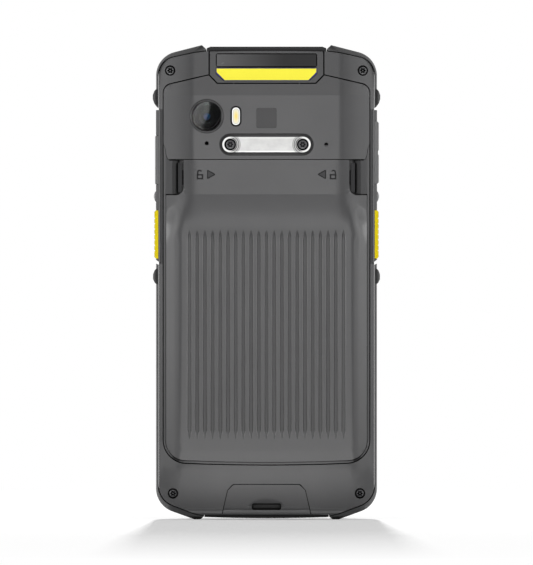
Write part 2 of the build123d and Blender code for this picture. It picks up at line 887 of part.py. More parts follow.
def scan_bezel():
    wall = 1.0 - fit_gap
    body = form & slab(bezel_outline(-bezel_inset), back_y, back_y + 4.2)
    body &= slab(housing_outline(), back_y, split_y)
    body -= form_cut(wall)
    recess = form & slab(panel_outline(0.1) + strip_outline(0.1), back_y - 1, back_y + 4)
    return body - (recess - form_cut(0.36))


def panel_outline(grow=0.0):
    half = bezel_half - 2.56 + grow
    return Pos(0, height - 5.35) * RectangleRounded(2 * half, 4.5 + 2 * grow, 0.8)


def strip_outline(grow=0.0):
    z, half = height - 12.3, bezel_half - 2.56 + grow
    points = [(0, z - grow), (half - 2.8, z - grow), (half, z + 2.3), (half, z + 4.3 + grow),
              (0, z + 4.3 + grow)]
    return both_sides(points)


def label_plate(outline):
    """A thin plate let into the bezel."""
    return (form_cut(0.08) & slab(outline, back_y, back_y + 4)) - form_cut(0.33)


def end_trim(top):
    """Dark band that closes the top or the bottom end between the guards."""
    if top:
        outline = both_sides([(0, housing_top + 0.05), (guard_end_high - 0.2, housing_top - 0.2),
                              (guard_end_high - 0.2, top_trim_height - 0.5),
                              (guard_end_high - 1.5, top_trim_height),
                              (0, top_trim_height)])
    else:
        outline = both_sides([(0, bottom_bow), (guard_end_low - 0.2, bottom_bow + 0.4),
                              (guard_end_low - 0.2, housing_bottom - 0.1), (0, housing_bottom - 0.05)])
    body = slab(outline, back_y + 2.6, front_y - 0.8)
    for hole in end_openings() + ([] if top else sound_holes()):
        body -= hole
    return body


def end_openings():
    """Scanner window at the top end and USB port at the bottom end."""
    window = block(-15.2, 15.2, -3.2, 5.2, height - 9, height + 1)
    port = extrude(Plane.XY.offset(-1) * Pos(0, usb_y) * SlotOverall(9.14, 3.4), 7.5)
    return [window, port]


def sound_holes():
    """Row of slots for the loudspeaker, and one for the microphone."""
    places = [sound_x + (n - (sound_count - 1) / 2) * sound_pitch for n in range(sound_count)]
    half, middle = sound_length / 2, sound_width / 2
    return [block(x - half, x + half, usb_y - middle, usb_y + middle, -1, 3)
            for x in places + [-sound_x]]


# ---- battery pack ----


bulge_bends = [(8.0, 22.0), (400.0, 23.2)]


def bulge_height(x, z):
    """How far the pack's rib field stands above the plain back at a point."""
    x = abs(x)
    plain = cover_drop + arc_drop(x, cover_plateau, cover_bends)
    full = arc_drop(x, bulge_plateau, bulge_bends)
    reach = min(max(x - ramp_plateau, 0.0), ramp_corner * 0.96)
    ramp_end = bulge_top - ramp_corner + sqrt(ramp_corner**2 - reach**2)
    along = min(max((z - ramp_end + ramp_length) / ramp_length, 0.0), 1.0)
    return plain, (plain - full) * (1 - along)


def battery_section(z):
    """Section of the pack across the fading end of the rib field."""
    points = []
    for x in [ramp_plateau + step for step in ramp_steps] + [battery_half + 1]:
        plain, rise = bulge_height(x, z)
        points.append((x, back_y + plain - rise))
    flat = Line((0, points[0][1]), points[0])
    shoulder = Spline(*points)
    floor = (points[-1][0], shell_parting_y)
    right = [flat, shoulder, Line(points[-1], floor), Line(floor, (0, shell_parting_y))]
    return make_face(right + [mirror(edge, Plane.YZ) for edge in right])


def groove_cutter():
    """One rib-field groove: slanted flanks, a flat floor and ends that run out."""
    stations = [
        (groove_bottom, 0.05), (groove_bottom + groove_fade, 1.0),
        (groove_top - groove_fade, 1.0), (groove_top, 0.05),
    ]
    faces = []
    for z, share in stations:
        top, floor, deep = groove_width * share / 2, groove_floor * share / 2, groove_depth * share
        points = [(-top, back_y), (-top, back_y - 0.3), (top, back_y - 0.3), (top, back_y),
                  (floor, back_y + deep), (-floor, back_y + deep)]
        faces.append(Plane.XY.offset(z) * make_face(Polyline(*points, close=True)))
    return loft(faces, ruled=True)


def battery_shell():
    start_z = bulge_top - ramp_length - ramp_corner + 3.0
    stations = [start_z + (bulge_top - start_z) * n / 7 for n in range(8)]
    low_z, high_z = battery_bottom - 1, battery_top + 1
    straight = extrude(at_height(low_z, battery_section(start_z)), start_z - low_z)
    ramp = loft([at_height(z, battery_section(z)) for z in stations], ruled=True)
    flange = extrude(at_height(bulge_top, battery_section(bulge_top)), high_z - bulge_top)
    outline = battery_outline()
    body = (straight + ramp + flange) & slab(outline, back_y, shell_parting_y)
    body -= lower_slope()
    grooves = [Pos((n - (groove_count - 1) / 2) * groove_pitch, 0, 0) * groove_cutter()
               for n in range(groove_count)]
    body -= grooves
    body -= latch_channels()
    cell_room = Pos(0, (battery_bottom + bulge_top) / 2) * Rectangle(
        2 * (battery_half - 4.2), bulge_top - battery_bottom - 12
    )
    body -= slab(cell_room, back_y + shell_wall + 0.3, shell_parting_y + 1)
    return body


def lower_slope():
    """The pack's lower end falls slightly towards the lower housing."""
    z = battery_bottom + 3.8
    drop = (z - battery_bottom + 1) * tan(radians(low_tilt))
    wedge = make_face(Polyline(
        (back_y, z), (back_y + drop, battery_bottom - 1), (back_y - 1, battery_bottom - 1),
        (back_y - 1, z), close=True))
    return extrude(Plane.YZ * wedge, section_reach, both=True)


def latch_channels():
    """Rooms in the pack's flange that the two latches slide in."""
    z = (notch_bottom + battery_top) / 2
    skin = back_y + latch_top_drop
    room = block(notch_inner - 5.6, notch_inner + 3, skin - 0.15, shell_parting_y + 1,
                 z - latch_height / 2 - 0.2, z + latch_height / 2 + 0.2)
    return room + twin(room)


def battery_core():
    """Inner case of the pack, below the shell, with its two tongues."""
    outline = battery_outline(-1.0)
    body = slab(outline, shell_parting_y, pack_under_y)
    z = (notch_bottom + battery_top) / 2
    room = block(notch_inner - 5.6, notch_inner + 3, shell_parting_y - 1,
                 back_y + latch_top_drop + latch_depth + 0.2,
                 z - latch_height / 2 - 0.2, z + latch_height / 2 + 0.2)
    body -= room + twin(room)
    z0, z1 = connector_box[4:]
    for x in contact_places():
        body -= block(x - 0.9, x + 0.9, pack_under_y + 1, pack_under_y - 0.3, z0 + 0.7, z1 - 0.7)
    return body


def battery_cell():
    return slab(
        Pos(0, (battery_bottom + bulge_top) / 2) * Rectangle(
            2 * (battery_half - 4.4), bulge_top - battery_bottom - 12.4),
        back_y + shell_wall + 0.5, shell_parting_y,
    )


def latch(side):
    """Sliding latch: finger plate in the notch and a slide under the pack's flange."""
    z = (notch_bottom + battery_top) / 2
    top = back_y + latch_top_drop
    plate = block(latch_outer - latch_plate, latch_outer, top, top + latch_depth,
                  z - latch_height / 2, z + latch_height / 2)
    slide = block(notch_inner - 3.2, latch_outer - latch_plate, top + 0.4, top + 2.4,
                  z - latch_height / 4, z + latch_height / 4)
    body = plate + slide
    return body if side > 0 else twin(body)


def latch_spring(side):
    """Coil that pushes a latch outwards, drawn as its outer envelope."""
    z = (notch_bottom + battery_top) / 2
    y = back_y + latch_top_drop + 1.4
    inner, outer = notch_inner - 5.55, notch_inner - 3.25
    body = rod_x(y, z, 0.9, inner, outer)
    return body if side > 0 else twin(body)


# ---- camera, flash, screen and inner pieces ----


def camera_ring():
    surface = back_y + cover_drop
    ring = rod_y(camera_x, camera_z, camera_ring_radius, surface - 0.3, surface + 2.6)
    ring -= rod_y(camera_x, camera_z, camera_window_radius + fit_gap, surface - 1, surface + 1.2)
    ring -= rod_y(camera_x, camera_z, 4.2, surface, surface + 3)
    rim = [e for e in ring.edges().filter_by(GeomType.CIRCLE) if abs(e.center().Y - surface + 0.3) < 0.01]
    return chamfer(rim, 0.2)


def camera_window():
    surface = back_y + cover_drop
    return rod_y(camera_x, camera_z, camera_window_radius, surface + 0.1, surface + 1.15)


def camera_module():
    surface = back_y + cover_drop
    body = rod_y(camera_x, camera_z, 4.1, surface + 1.3, board_y - fit_gap)
    body -= extrude(
        back_plane(surface + 2.6) * Pos(camera_x, camera_z) * Circle(2.0), 1.5, taper=-35
    )
    return body


def flash_bezel():
    surface = back_y + cover_drop
    shape = Pos(flash_x, camera_z) * Rot(0, 0, 90) * SlotOverall(flash_height, flash_width)
    return slab(shape, surface + 0.02, surface + 2.2) - slab(
        flash_lens_outline(0.04), surface - 1, surface + 3
    )


def flash_lens_outline(grow=0.0):
    return Pos(flash_x, camera_z) * Rot(0, 0, 90) * SlotOverall(6.0 + grow, 2.66 + grow)


def flash_lens():
    surface = back_y + cover_drop
    return slab(flash_lens_outline(), surface + 0.1, surface + 1.3)


def flash_led():
    surface = back_y + cover_drop
    return block(flash_x - 0.7, flash_x + 0.7, surface + 1.4, surface + 2.2,
                 camera_z - 1.4, camera_z + 1.4)


def grown_block(box, grow):
    """A box grown sideways and lengthwise, and run right through the floor it sits in."""
    x0, x1, y0, y1, z0, z1 = box
    return block(x0 - grow, x1 + grow, y0 - 2, y1 + 2, z0 - grow, z1 + grow)


def display_module():
    return slab(display_outline(), display_y, glass_y - glass_thickness)


def chassis():
    """Metal plate that carries the display, the boards and the key switches."""
    outline = Pos(0, height / 2) * RectangleRounded(
        2 * cavity_half - 0.2, height - 2 * cavity_margin - 0.2, 4.0)
    body = slab(outline, chassis_y, display_y)
    for side in (-1, 1):
        body -= block(side * (flex_outer - 0.3), side * half_width, chassis_y - 1, display_y + 1,
                      guard_low_top, guard_high_bottom - 2)
    x0, x1, y0, y1, z0, z1 = engine_box
    body -= block(x0 - 0.3, x1 + 0.3, y0, display_y + 1, z0 - 0.3, height)
    body -= block(-5.2, 5.2, chassis_y - 1, display_y + 1, 0, 9.0)
    return body


def main_board():
    """Circuit board between the battery bay and the top end."""
    width, length = 2 * cavity_half - 1.0, height - 5.2 - board_bottom
    body = slab(Pos(0, board_bottom + length / 2) * Rectangle(width, length),
                board_y, board_y + board_thickness)
    x0, x1, y0, y1, z0, z1 = engine_box
    body -= block(x0 - 0.4, x1 + 0.4, board_y - 1, chassis_y, z0 - 0.4, height)
    notch = boss_half + 0.3
    for x, z in housing_screw_places():
        body -= block(x - notch, x + notch * 2, board_y - 1, chassis_y, z - notch, z + notch * 2)
    return body


def board_shields():
    """Two shield cans soldered to the board."""
    cans = [
        block(-7.5, 11.5, board_y - 1.4, board_y, board_bottom + 2.5, board_bottom + 14.5),
        block(13.5, cavity_half - 2.7, board_y - 1.4, board_y, board_bottom + 1.0, board_bottom + 15.0),
    ]
    return Compound(children=[can.solid() for can in cans])


def scan_engine():
    """Imager that reads codes through the top window."""
    x0, x1, y0, y1, z0, z1 = engine_box
    body = block(*engine_box)
    nose = Plane.XY.offset(z1)
    middle = (y0 + y1) / 2
    for x, radius in ((-5.2, 2.2), (3.6, 1.5)):
        body -= extrude(nose * Pos(x, middle) * Circle(radius), -1.5, taper=12)
    return body


def scan_window():
    z = top_trim_height - 0.4
    body = block(-15.0, 15.0, -3.0, 5.0, z - 1.1, z)
    return fillet(body.edges().filter_by(Axis.Z), 1.0)


def usb_receptacle():
    """USB-C port: metal shell and its tongue."""
    z0, z1 = bottom_bow + 0.5, 8.6
    plane = Plane.XY.offset(z0) * Pos(0, usb_y)
    shell = extrude(plane * SlotOverall(8.94, 3.2), z1 - z0)
    shell -= extrude(Plane.XY.offset(z0 - 1) * Pos(0, usb_y) * SlotOverall(8.34, 2.6), z1 - z0 + 0.2)
    return shell + block(-3.3, 3.3, usb_y - 0.35, usb_y + 0.35, z0 + 1.0, z1 - 0.5)


def loudspeaker():
    return block(hollow_inner + 0.4, hollow_outer - 1.25, board_y - 1.8, chassis_y - fit_gap, 4.8, 15.6)


def vibration_motor():
    middle = (hollow_inner + hollow_outer) / 2
    return rod_y(-middle, 10.4, 4.0, chassis_y - 2.7, chassis_y - fit_gap)


def bay_connector():
    """Block of spring contacts in the bay floor."""
    body = block(*connector_box)
    x0, x1, y0, y1, z0, z1 = connector_box
    for x in contact_places():
        body += block(x - 0.5, x + 0.5, bay_floor_y - 0.23, y0 + 0.1, z0 + 1.2, z1 - 1.2)
    return body


def contact_places():
    return [(n - 2.5) * 3.6 for n in range(6)]


def battery_contacts():
    z0, z1 = connector_box[4:]
    pads = [
        block(x - 0.9, x + 0.9, pack_under_y, pack_under_y - 0.3, z0 + 0.7, z1 - 0.7)
        for x in contact_places()
    ]
    return Compound(children=[pad.solid() for pad in pads])


def battery_seal():
    z = (connector_box[4] + connector_box[5]) / 2
    ring = Pos(0, z) * (Rectangle(31.0, 9.6) - Rectangle(28.6, 7.2))
    return slab(ring, pack_under_y, bay_floor_y - fit_gap)


def card_socket():
    """Push-in holder for the two cards under the pack."""
    body = block(*card_box)
    x0, x1, y0, y1, z0, z1 = card_box
    return body - block(x0 - 1, x1 - 3, y0 + 0.15, y0 + 0.35, z0 + 2, z1 - 2)


def key_flex(side):
    """Strip of circuit up the side that carries the key switches."""
    return block(side * (flex_outer - 0.25), side * flex_outer, chassis_y + 0.1, display_y - 0.1,
                 guard_low_top + 0.5, guard_high_bottom - 2.5)


def side_switches():
    switches = []
    for side, z, length in key_places():
        for height_z in plunger_heights(side, z, length):
            switches.append(block(side * flex_outer, side * switch_face, chassis_y + 0.4,
                                  display_y - 0.15, height_z - 1.6, height_z + 1.6))
    return Compound(children=[s.solid() for s in switches])


def earpiece_mesh():
    slot = Pos(0, earpiece_z) * SlotOverall(8.9, 1.2)
    return slab(slot, glass_y - 1.0, glass_y - 0.5)


def front_camera():
    return rod_y(front_camera_x, earpiece_z, front_camera_radius, display_y + fit_gap,
                 glass_y - glass_thickness - fit_gap)


def touch_glass():
    hole = Pos(0, earpiece_z) * SlotOverall(9.0, 1.3)
    glass = slab(glass_outline() - hole, glass_y - glass_thickness, glass_y)
    rim = glass.faces().sort_by(Axis.Y)[-1].outer_wire().edges()
    return chamfer(rim, 0.3)


def write(name, part):
    export_step(part, f"parts/{name}.step")


def main():
    os.makedirs("parts", exist_ok=True)
    ring = guard_ring()
    right_guards = {"upper_guard": upper_guard(ring), "lower_guard": lower_guard(ring)}
    rail = side_rail()
    rails = {1: rail, -1: twin(rail)}
    for aperture in key_apertures():
        side = 1 if aperture.center().X > 0 else -1
        rails[side] -= aperture
    pieces = {
        "rear_housing": rear_housing(),
        "front_frame": front_frame(),
        "battery_bay": battery_bay(),
        "camera_cover": camera_cover(),
        "strap_plate": strap_plate(),
        "strap_insert": strap_insert(),
        "scan_bezel": scan_bezel(),
        "label_panel": label_plate(panel_outline()),
        "caution_strip": label_plate(strip_outline()),
        "top_trim": end_trim(True),
        "bottom_trim": end_trim(False),
        "side_rail_right": rails[1],
        "side_rail_left": rails[-1],
        "left_key": key_body(-1, left_key_z, left_key_length, 0.36),
        "volume_rocker": rocker(),
        "scan_key_left": scan_key(-1),
        "scan_key_right": scan_key(1),
        "battery_shell": battery_shell(),
        "battery_core": battery_core(),
        "battery_cell": battery_cell(),
        "battery_latch_left": latch(-1),
        "battery_latch_right": latch(1),
        "latch_spring_left": latch_spring(-1),
        "latch_spring_right": latch_spring(1),
        "camera_ring": camera_ring(),
        "camera_window": camera_window(),
        "camera_module": camera_module(),
        "flash_bezel": flash_bezel(),
        "flash_lens": flash_lens(),
        "flash_led": flash_led(),
        "touch_glass": touch_glass(),
        "strap_plate_screws": strap_plate_screws(),
        "housing_screws": housing_screws(),
        "display_module": display_module(),
        "chassis": chassis(),
        "main_board": main_board(),
        "board_shields": board_shields(),
        "scan_engine": scan_engine(),
        "scan_window": scan_window(),
        "usb_receptacle": usb_receptacle(),
        "loudspeaker": loudspeaker(),
        "vibration_motor": vibration_motor(),
        "bay_connector": bay_connector(),
        "battery_contacts": battery_contacts(),
        "battery_seal": battery_seal(),
        "card_socket": card_socket(),
        "key_flex_left": key_flex(-1),
        "key_flex_right": key_flex(1),
        "side_switches": side_switches(),
        "earpiece_mesh": earpiece_mesh(),
        "front_camera": front_camera(),
    }
    for name, part in right_guards.items():
        pieces[name + "_right"] = part
        pieces[name + "_left"] = twin(part)
    for name, part in pieces.items():
        write(name, part)


main()
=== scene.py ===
"""Looks of a hand-held barcode data terminal that stands upright with its back to the camera."""

import json
from math import atan2, copysign, cos, pi, radians, sin
import bmesh
import bpy
from mathutils import Matrix, Vector
from mathutils.bvhtree import BVHTree

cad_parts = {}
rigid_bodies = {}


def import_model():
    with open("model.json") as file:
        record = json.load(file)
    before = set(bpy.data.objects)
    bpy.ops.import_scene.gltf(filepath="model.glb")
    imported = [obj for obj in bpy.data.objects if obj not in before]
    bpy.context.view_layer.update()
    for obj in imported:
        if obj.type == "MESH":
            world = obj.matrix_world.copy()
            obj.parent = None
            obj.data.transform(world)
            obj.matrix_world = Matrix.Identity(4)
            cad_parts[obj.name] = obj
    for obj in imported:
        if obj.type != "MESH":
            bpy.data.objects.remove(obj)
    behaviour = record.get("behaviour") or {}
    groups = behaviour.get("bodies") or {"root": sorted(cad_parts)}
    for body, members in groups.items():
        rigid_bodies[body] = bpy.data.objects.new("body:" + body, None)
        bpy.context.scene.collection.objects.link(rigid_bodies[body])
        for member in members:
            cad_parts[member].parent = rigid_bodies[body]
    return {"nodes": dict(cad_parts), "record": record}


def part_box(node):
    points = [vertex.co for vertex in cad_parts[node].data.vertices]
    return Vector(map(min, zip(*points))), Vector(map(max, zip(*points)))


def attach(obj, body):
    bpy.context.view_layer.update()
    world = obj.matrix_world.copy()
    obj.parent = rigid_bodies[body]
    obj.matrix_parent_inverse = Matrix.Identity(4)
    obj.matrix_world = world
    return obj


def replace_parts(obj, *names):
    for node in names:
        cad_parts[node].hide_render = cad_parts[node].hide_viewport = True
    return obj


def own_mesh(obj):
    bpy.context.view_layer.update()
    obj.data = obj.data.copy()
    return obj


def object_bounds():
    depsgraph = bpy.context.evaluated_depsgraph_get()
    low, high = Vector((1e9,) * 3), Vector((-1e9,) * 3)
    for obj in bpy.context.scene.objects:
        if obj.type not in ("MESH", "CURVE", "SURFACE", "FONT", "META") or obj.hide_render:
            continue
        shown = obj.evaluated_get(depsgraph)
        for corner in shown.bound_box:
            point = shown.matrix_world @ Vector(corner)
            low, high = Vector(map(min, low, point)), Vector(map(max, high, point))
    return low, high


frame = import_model()
cad_low, cad_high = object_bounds()
scene = bpy.context.scene
nodes = frame["nodes"]
body_of_node = {
    node: body for body, names in frame["record"]["behaviour"]["bodies"].items() for node in names
}
slot_of_node = {entry["node"]: entry["material_slot"] for entry in frame["record"]["subparts"]}
mm = 0.001
centre = Vector((0, 0, (cad_low[2] + cad_high[2]) / 2))


# ---- camera ----

view_distance = 2.0
view_height = 0.1925  # what the picture takes in, from top to bottom, at the object


def add_camera():
    data = bpy.data.cameras.new("camera")
    data.sensor_fit = "VERTICAL"
    data.sensor_height = 24.0
    data.lens = data.sensor_height * view_distance / view_height
    camera = bpy.data.objects.new("camera", data)
    camera.location = (0, -view_distance, centre.z - 0.0001)
    camera.rotation_euler = (radians(90), 0, 0)
    scene.collection.objects.link(camera)
    scene.camera = camera


add_camera()


# ---- materials ----


def srgb(*values):
    """Linear colour of 0 to 255 sRGB values."""
    linear = [(v / 255 / 12.92) if v <= 10 else ((v / 255 + 0.055) / 1.055) ** 2.4 for v in values]
    return (*linear, 1.0)


class Surface:
    """A node material that is built up step by step round one Principled shader."""

    def __init__(self, name):
        self.material = bpy.data.materials.new(name)
        self.material.use_nodes = True
        self.tree = self.material.node_tree
        self.shader = self.tree.nodes["Principled BSDF"]
        self.place = self.tree.nodes.new("ShaderNodeTexCoord").outputs["Object"]

    def node(self, kind, inputs=None, **settings):
        node = self.tree.nodes.new(kind)
        for name, value in settings.items():
            setattr(node, name, value)
        for name, value in (inputs or {}).items():
            if isinstance(value, bpy.types.NodeSocket):
                self.tree.links.new(value, node.inputs[name])
            else:
                node.inputs[name].default_value = value
        return node

    def link(self, output, name):
        self.tree.links.new(output, self.shader.inputs[name])

    def noise(self, size, detail=2.0, roughness=0.5, place=None):
        inputs = {"Vector": place or self.place, "Scale": 1 / size, "Detail": detail, "Roughness": roughness}
        return self.node("ShaderNodeTexNoise", inputs).outputs["Fac"]

    def ramp(self, value, low, high, start=0.35, end=0.65):
        return self.node(
            "ShaderNodeMapRange",
            {"Value": value, "From Min": start, "From Max": end, "To Min": low, "To Max": high},
        ).outputs["Result"]

    def blend(self, factor, first, second):
        mix = self.node("ShaderNodeMix", data_type="RGBA")
        for socket, value in zip((mix.inputs[0], mix.inputs[6], mix.inputs[7]), (factor, first, second)):
            if isinstance(value, bpy.types.NodeSocket):
                self.tree.links.new(value, socket)
            else:
                socket.default_value = value
        return mix.outputs[2]

    def bump(self, height, strength, distance, normal=None):
        inputs = {"Height": height, "Strength": strength, "Distance": distance}
        if normal:
            inputs["Normal"] = normal
        return self.node("ShaderNodeBump", inputs).outputs["Normal"]

    def math(self, operation, first, second=0.0):
        return self.node("ShaderNodeMath", {0: first, 1: second}, operation=operation).outputs[0]

    def axes(self):
        """The three object coordinates, in metres."""
        split = self.node("ShaderNodeSeparateXYZ", {0: self.place})
        return [split.outputs[axis] for axis in "XYZ"]

    def distance(self, *offsets):
        """Length of a vector given by its parts."""
        total = self.math("MULTIPLY", offsets[0], offsets[0])
        for offset in offsets[1:]:
            total = self.math("ADD", total, self.math("MULTIPLY", offset, offset))
        return self.math("SQRT", total)

    def open_sky(self, reach, low=0.3, high=0.85):
        """1 on open faces, falling to 0 deep in gaps and holes."""
        shadow = self.node("ShaderNodeAmbientOcclusion", {"Distance": reach}, samples=8)
        return self.ramp(shadow.outputs["AO"], 0.0, 1.0, low, high)

    def paint_gap_shade(self, colour, reach=1.6 * mm, low=0.3, high=0.85, cover=None):
        """Painted shade: base colour and gloss that fade out in gaps and holes, where shadow falls.

        A cover is a factor over the surface, from 1 on plain faces to 0 where it is painted all dark.
        """
        sky = self.open_sky(reach, low, high)
        if cover:
            sky = self.math("MULTIPLY", sky, cover)
        self.link(self.blend(sky, (0.0015, 0.0015, 0.0015, 1.0), colour), "Base Color")
        self.link(self.ramp(sky, 0.02, 0.5, 0.0, 1.0), "Specular IOR Level")

    def band(self, value, start, end, soft):
        """1 where a value lies between two limits, with soft ends."""
        rise = self.ramp(value, 0.0, 1.0, start - soft / 2, start + soft / 2)
        fall = self.ramp(value, 1.0, 0.0, end - soft / 2, end + soft / 2)
        return self.math("MULTIPLY", rise, fall)

    def set(self, **values):
        for name, value in values.items():
            self.shader.inputs[name.replace("_", " ")].default_value = value


def shade(colour, factor):
    return (*[min(1.0, c * factor) for c in colour[:3]], 1.0)


inner = 14 * mm  # reach of the shadow on pieces that lie inside the case


def moulded(name, colour, rough=0.22, grain=0.30, relief=0.08, spread=0.06, ior=1.4, dress=None, reach=1.6 * mm,
             open_from=0.3, open_to=0.85):
    """Moulded plastic or rubber: a fine spark grain, faint mottling and uneven gloss.

    The dress is a function that takes the surface and its colour. It gives the colour with what
    is printed or painted on it, and a cover of painted shade for its darker places, or None.
    """
    surface = Surface(name)
    mottle = surface.noise(9 * mm, 3.0)
    fine = surface.noise(grain * mm, 2.0, 0.6)
    base = surface.blend(surface.ramp(mottle, 0, 1), shade(colour, 1 - spread / 2), shade(colour, 1 + spread / 2))
    speck = surface.blend(surface.ramp(fine, 0, 1, 0.3, 0.7), shade(colour, 0.93), shade(colour, 1.07))
    finish, cover = surface.blend(0.35, base, speck), None
    if dress:
        finish, cover = dress(surface, finish)
    # paints shade into gaps and holes, and where the dress's cover is dark
    surface.paint_gap_shade(finish, reach, open_from, open_to, cover)
    handled = surface.noise(24 * mm, 4.0, 0.6)
    surface.link(surface.ramp(handled, rough - 0.01, rough + 0.02), "Roughness")
    surface.link(surface.bump(fine, relief, 0.012 * mm), "Normal")
    surface.set(IOR=ior)
    return surface.material


def metal(name, colour, rough=0.25, brushed=0.5, dress=None, reach=1.6 * mm):
    """Metal with fine drawn lines along its length."""
    surface = Surface(name)
    stretched = surface.node(
        "ShaderNodeMapping", {"Vector": surface.place, "Scale": (0.06, 1.0, 1.0)}
    ).outputs["Vector"]
    lines = surface.noise(0.12 * mm, 3.0, 0.6, stretched)
    cloud = surface.noise(3 * mm, 2.0)
    finish = surface.blend(surface.ramp(cloud, 0, 1), shade(colour, 0.93), shade(colour, 1.05))
    if dress:
        finish = dress(surface, finish)
    # paints shade into gaps and holes
    surface.paint_gap_shade(finish, reach)
    surface.link(surface.ramp(lines, rough - 0.06, rough + 0.08), "Roughness")
    surface.link(surface.bump(lines, brushed * 0.3, 0.004 * mm), "Normal")
    surface.set(Metallic=1.0)
    return surface.material


def glass(name, colour, rough=0.03, clear=1.0, ior=1.5):
    surface = Surface(name)
    film = surface.noise(14 * mm, 3.0)
    surface.link(surface.ramp(film, rough, rough * 2), "Roughness")
    surface.set(Base_Color=colour, IOR=ior, Transmission_Weight=clear)
    return surface.material


def gloss(name, colour, rough=0.12, ior=1.5, reach=1.6 * mm):
    surface = Surface(name)
    wave = surface.noise(6 * mm, 2.0)
    finish = surface.blend(surface.ramp(wave, 0, 1), shade(colour, 0.9), shade(colour, 1.1))
    # paints shade into gaps and holes
    surface.paint_gap_shade(finish, reach)
    surface.link(surface.ramp(wave, rough - 0.02, rough + 0.04), "Roughness")
    surface.set(IOR=ior)
    return surface.material


def coated_lens(name):
    """Dark glass dome with a coating that tints what it reflects."""
    surface = Surface(name)
    cloud = surface.noise(1.2 * mm, 2.0)
    surface.link(surface.ramp(cloud, 0.12, 0.16), "Roughness")
    surface.set(Base_Color=srgb(3, 4, 7), IOR=1.22, Specular_Tint=srgb(70, 150, 255))
    return surface.material


# ---- what is printed on or let into some surfaces ----


def inside(surface, value, limit, soft=0.12):
    """1 while a value in millimetres stays under a limit, fading to 0 just past it."""
    return surface.ramp(value, 1.0, 0.0, (limit - soft / 2) * mm, (limit + soft / 2) * mm)


def recessed_mark(surface, finish):
    """The plain square for contactless cards is a little darker than the cover round it."""
    x, y, z = surface.axes()
    over_z = surface.math("ABSOLUTE", surface.math("SUBTRACT", z, mark_z * mm))
    square = surface.math("MAXIMUM", surface.math("ABSOLUTE", x), over_z)
    return finish, surface.ramp(inside(surface, square, 3.35), 1.0, 0.66, 0.0, 1.0)


def rib_field_shade(surface, finish):
    """The rib field is painted a shade darker than the smooth rim round it, as shade in its grooves."""
    x, y, z = surface.axes()
    over_z = surface.math("SUBTRACT", surface.math("ABSOLUTE", surface.math("SUBTRACT", z, 64 * mm)), 35 * mm)
    over_x = surface.math("SUBTRACT", surface.math("ABSOLUTE", x), 25.3 * mm)
    edge = surface.math("MAXIMUM", over_x, over_z)
    return finish, surface.ramp(inside(surface, edge, 0.0, 2.4), 1.0, 0.9, 0.0, 1.0)


def latch_slope_shade(surface, finish):
    """The slopes beside the latches are painted dark and with less gloss, as shade in the scoops there."""
    x, y, z = surface.axes()
    across = surface.math("ABSOLUTE", x)
    slope = surface.band(across, (bay_half - 5.4) * mm, (bay_half - 2.95) * mm, 0.5 * mm)
    return finish, surface.ramp(slope, 1.0, 0.32, 0.0, 1.0)


def panel_glare_and_gap_shade(surface, finish):
    """Dark glossy plate with a painted glare that makes it greyer at one end, and a thin black outline of painted
    shade along the gap round it.
    """
    x, y, z = surface.axes()
    over_z = surface.math("SUBTRACT", surface.math("ABSOLUTE", surface.math("SUBTRACT", z, panel_z * mm)),
                          2.25 * mm)
    over_x = surface.math("SUBTRACT", surface.math("ABSOLUTE", x), panel_half * mm)
    edge = surface.math("MAXIMUM", over_x, over_z)
    # painted glare: greyer at the left end, darker and less glossy towards the right
    fade = surface.ramp(x, 0.0, 1.0, -panel_half * mm, 0.35 * panel_half * mm)
    finish = surface.blend(fade, srgb(74, 74, 75), srgb(42, 42, 43))
    cover = surface.ramp(fade, 0.8, 0.42, 0.0, 1.0)
    # thin black outline of painted shade along the gap round the plate
    return finish, surface.math("MULTIPLY", cover, inside(surface, edge, -0.22))


def printed_strip(surface, finish):
    """Plain yellow strip with a thin dark blue outline that is cut off at its lower corners."""
    x, y, z = surface.axes()
    across = surface.math("ABSOLUTE", x)
    over_x = surface.math("SUBTRACT", across, panel_half * mm)
    below = surface.math("SUBTRACT", strip_bottom * mm, z)
    above = surface.math("SUBTRACT", z, (strip_bottom + 4.3) * mm)
    corner = surface.math("MULTIPLY", surface.math("SUBTRACT", surface.math("SUBTRACT", across, z),
                                                   (panel_half - 2.8 - strip_bottom) * mm), 0.7)
    edge = surface.math("MAXIMUM", surface.math("MAXIMUM", over_x, corner), surface.math("MAXIMUM", below, above))
    return surface.blend(inside(surface, edge, -0.2), srgb(38, 38, 92), finish), None


def flash_diffuser(surface, finish):
    """White lens in a black outline, with a paler bowl whose middle is yellow."""
    x, y, z = surface.axes()
    off_x, off_z = surface.math("SUBTRACT", x, flash_middle.x), surface.math("SUBTRACT", z, flash_middle.z)
    beyond = surface.math("MAXIMUM", surface.math("SUBTRACT", surface.math("ABSOLUTE", off_z), 1.6 * mm), 0.0)
    across = surface.distance(off_x, beyond)
    away = surface.distance(surface.math("MULTIPLY", off_x, 1.5), surface.math("MULTIPLY", off_z, 0.62))
    glow = surface.ramp(away, 1.0, 0.0, 0.15 * mm, 1.5 * mm)
    bowl = surface.blend(glow, srgb(196, 194, 176), srgb(206, 182, 92))
    finish = surface.blend(inside(surface, across, 0.98), finish, bowl)
    finish = surface.blend(surface.band(across, 0.95 * mm, 1.08 * mm, 0.06 * mm), finish, srgb(120, 120, 118))
    return surface.blend(inside(surface, across, 1.32), srgb(3, 3, 3), finish), None


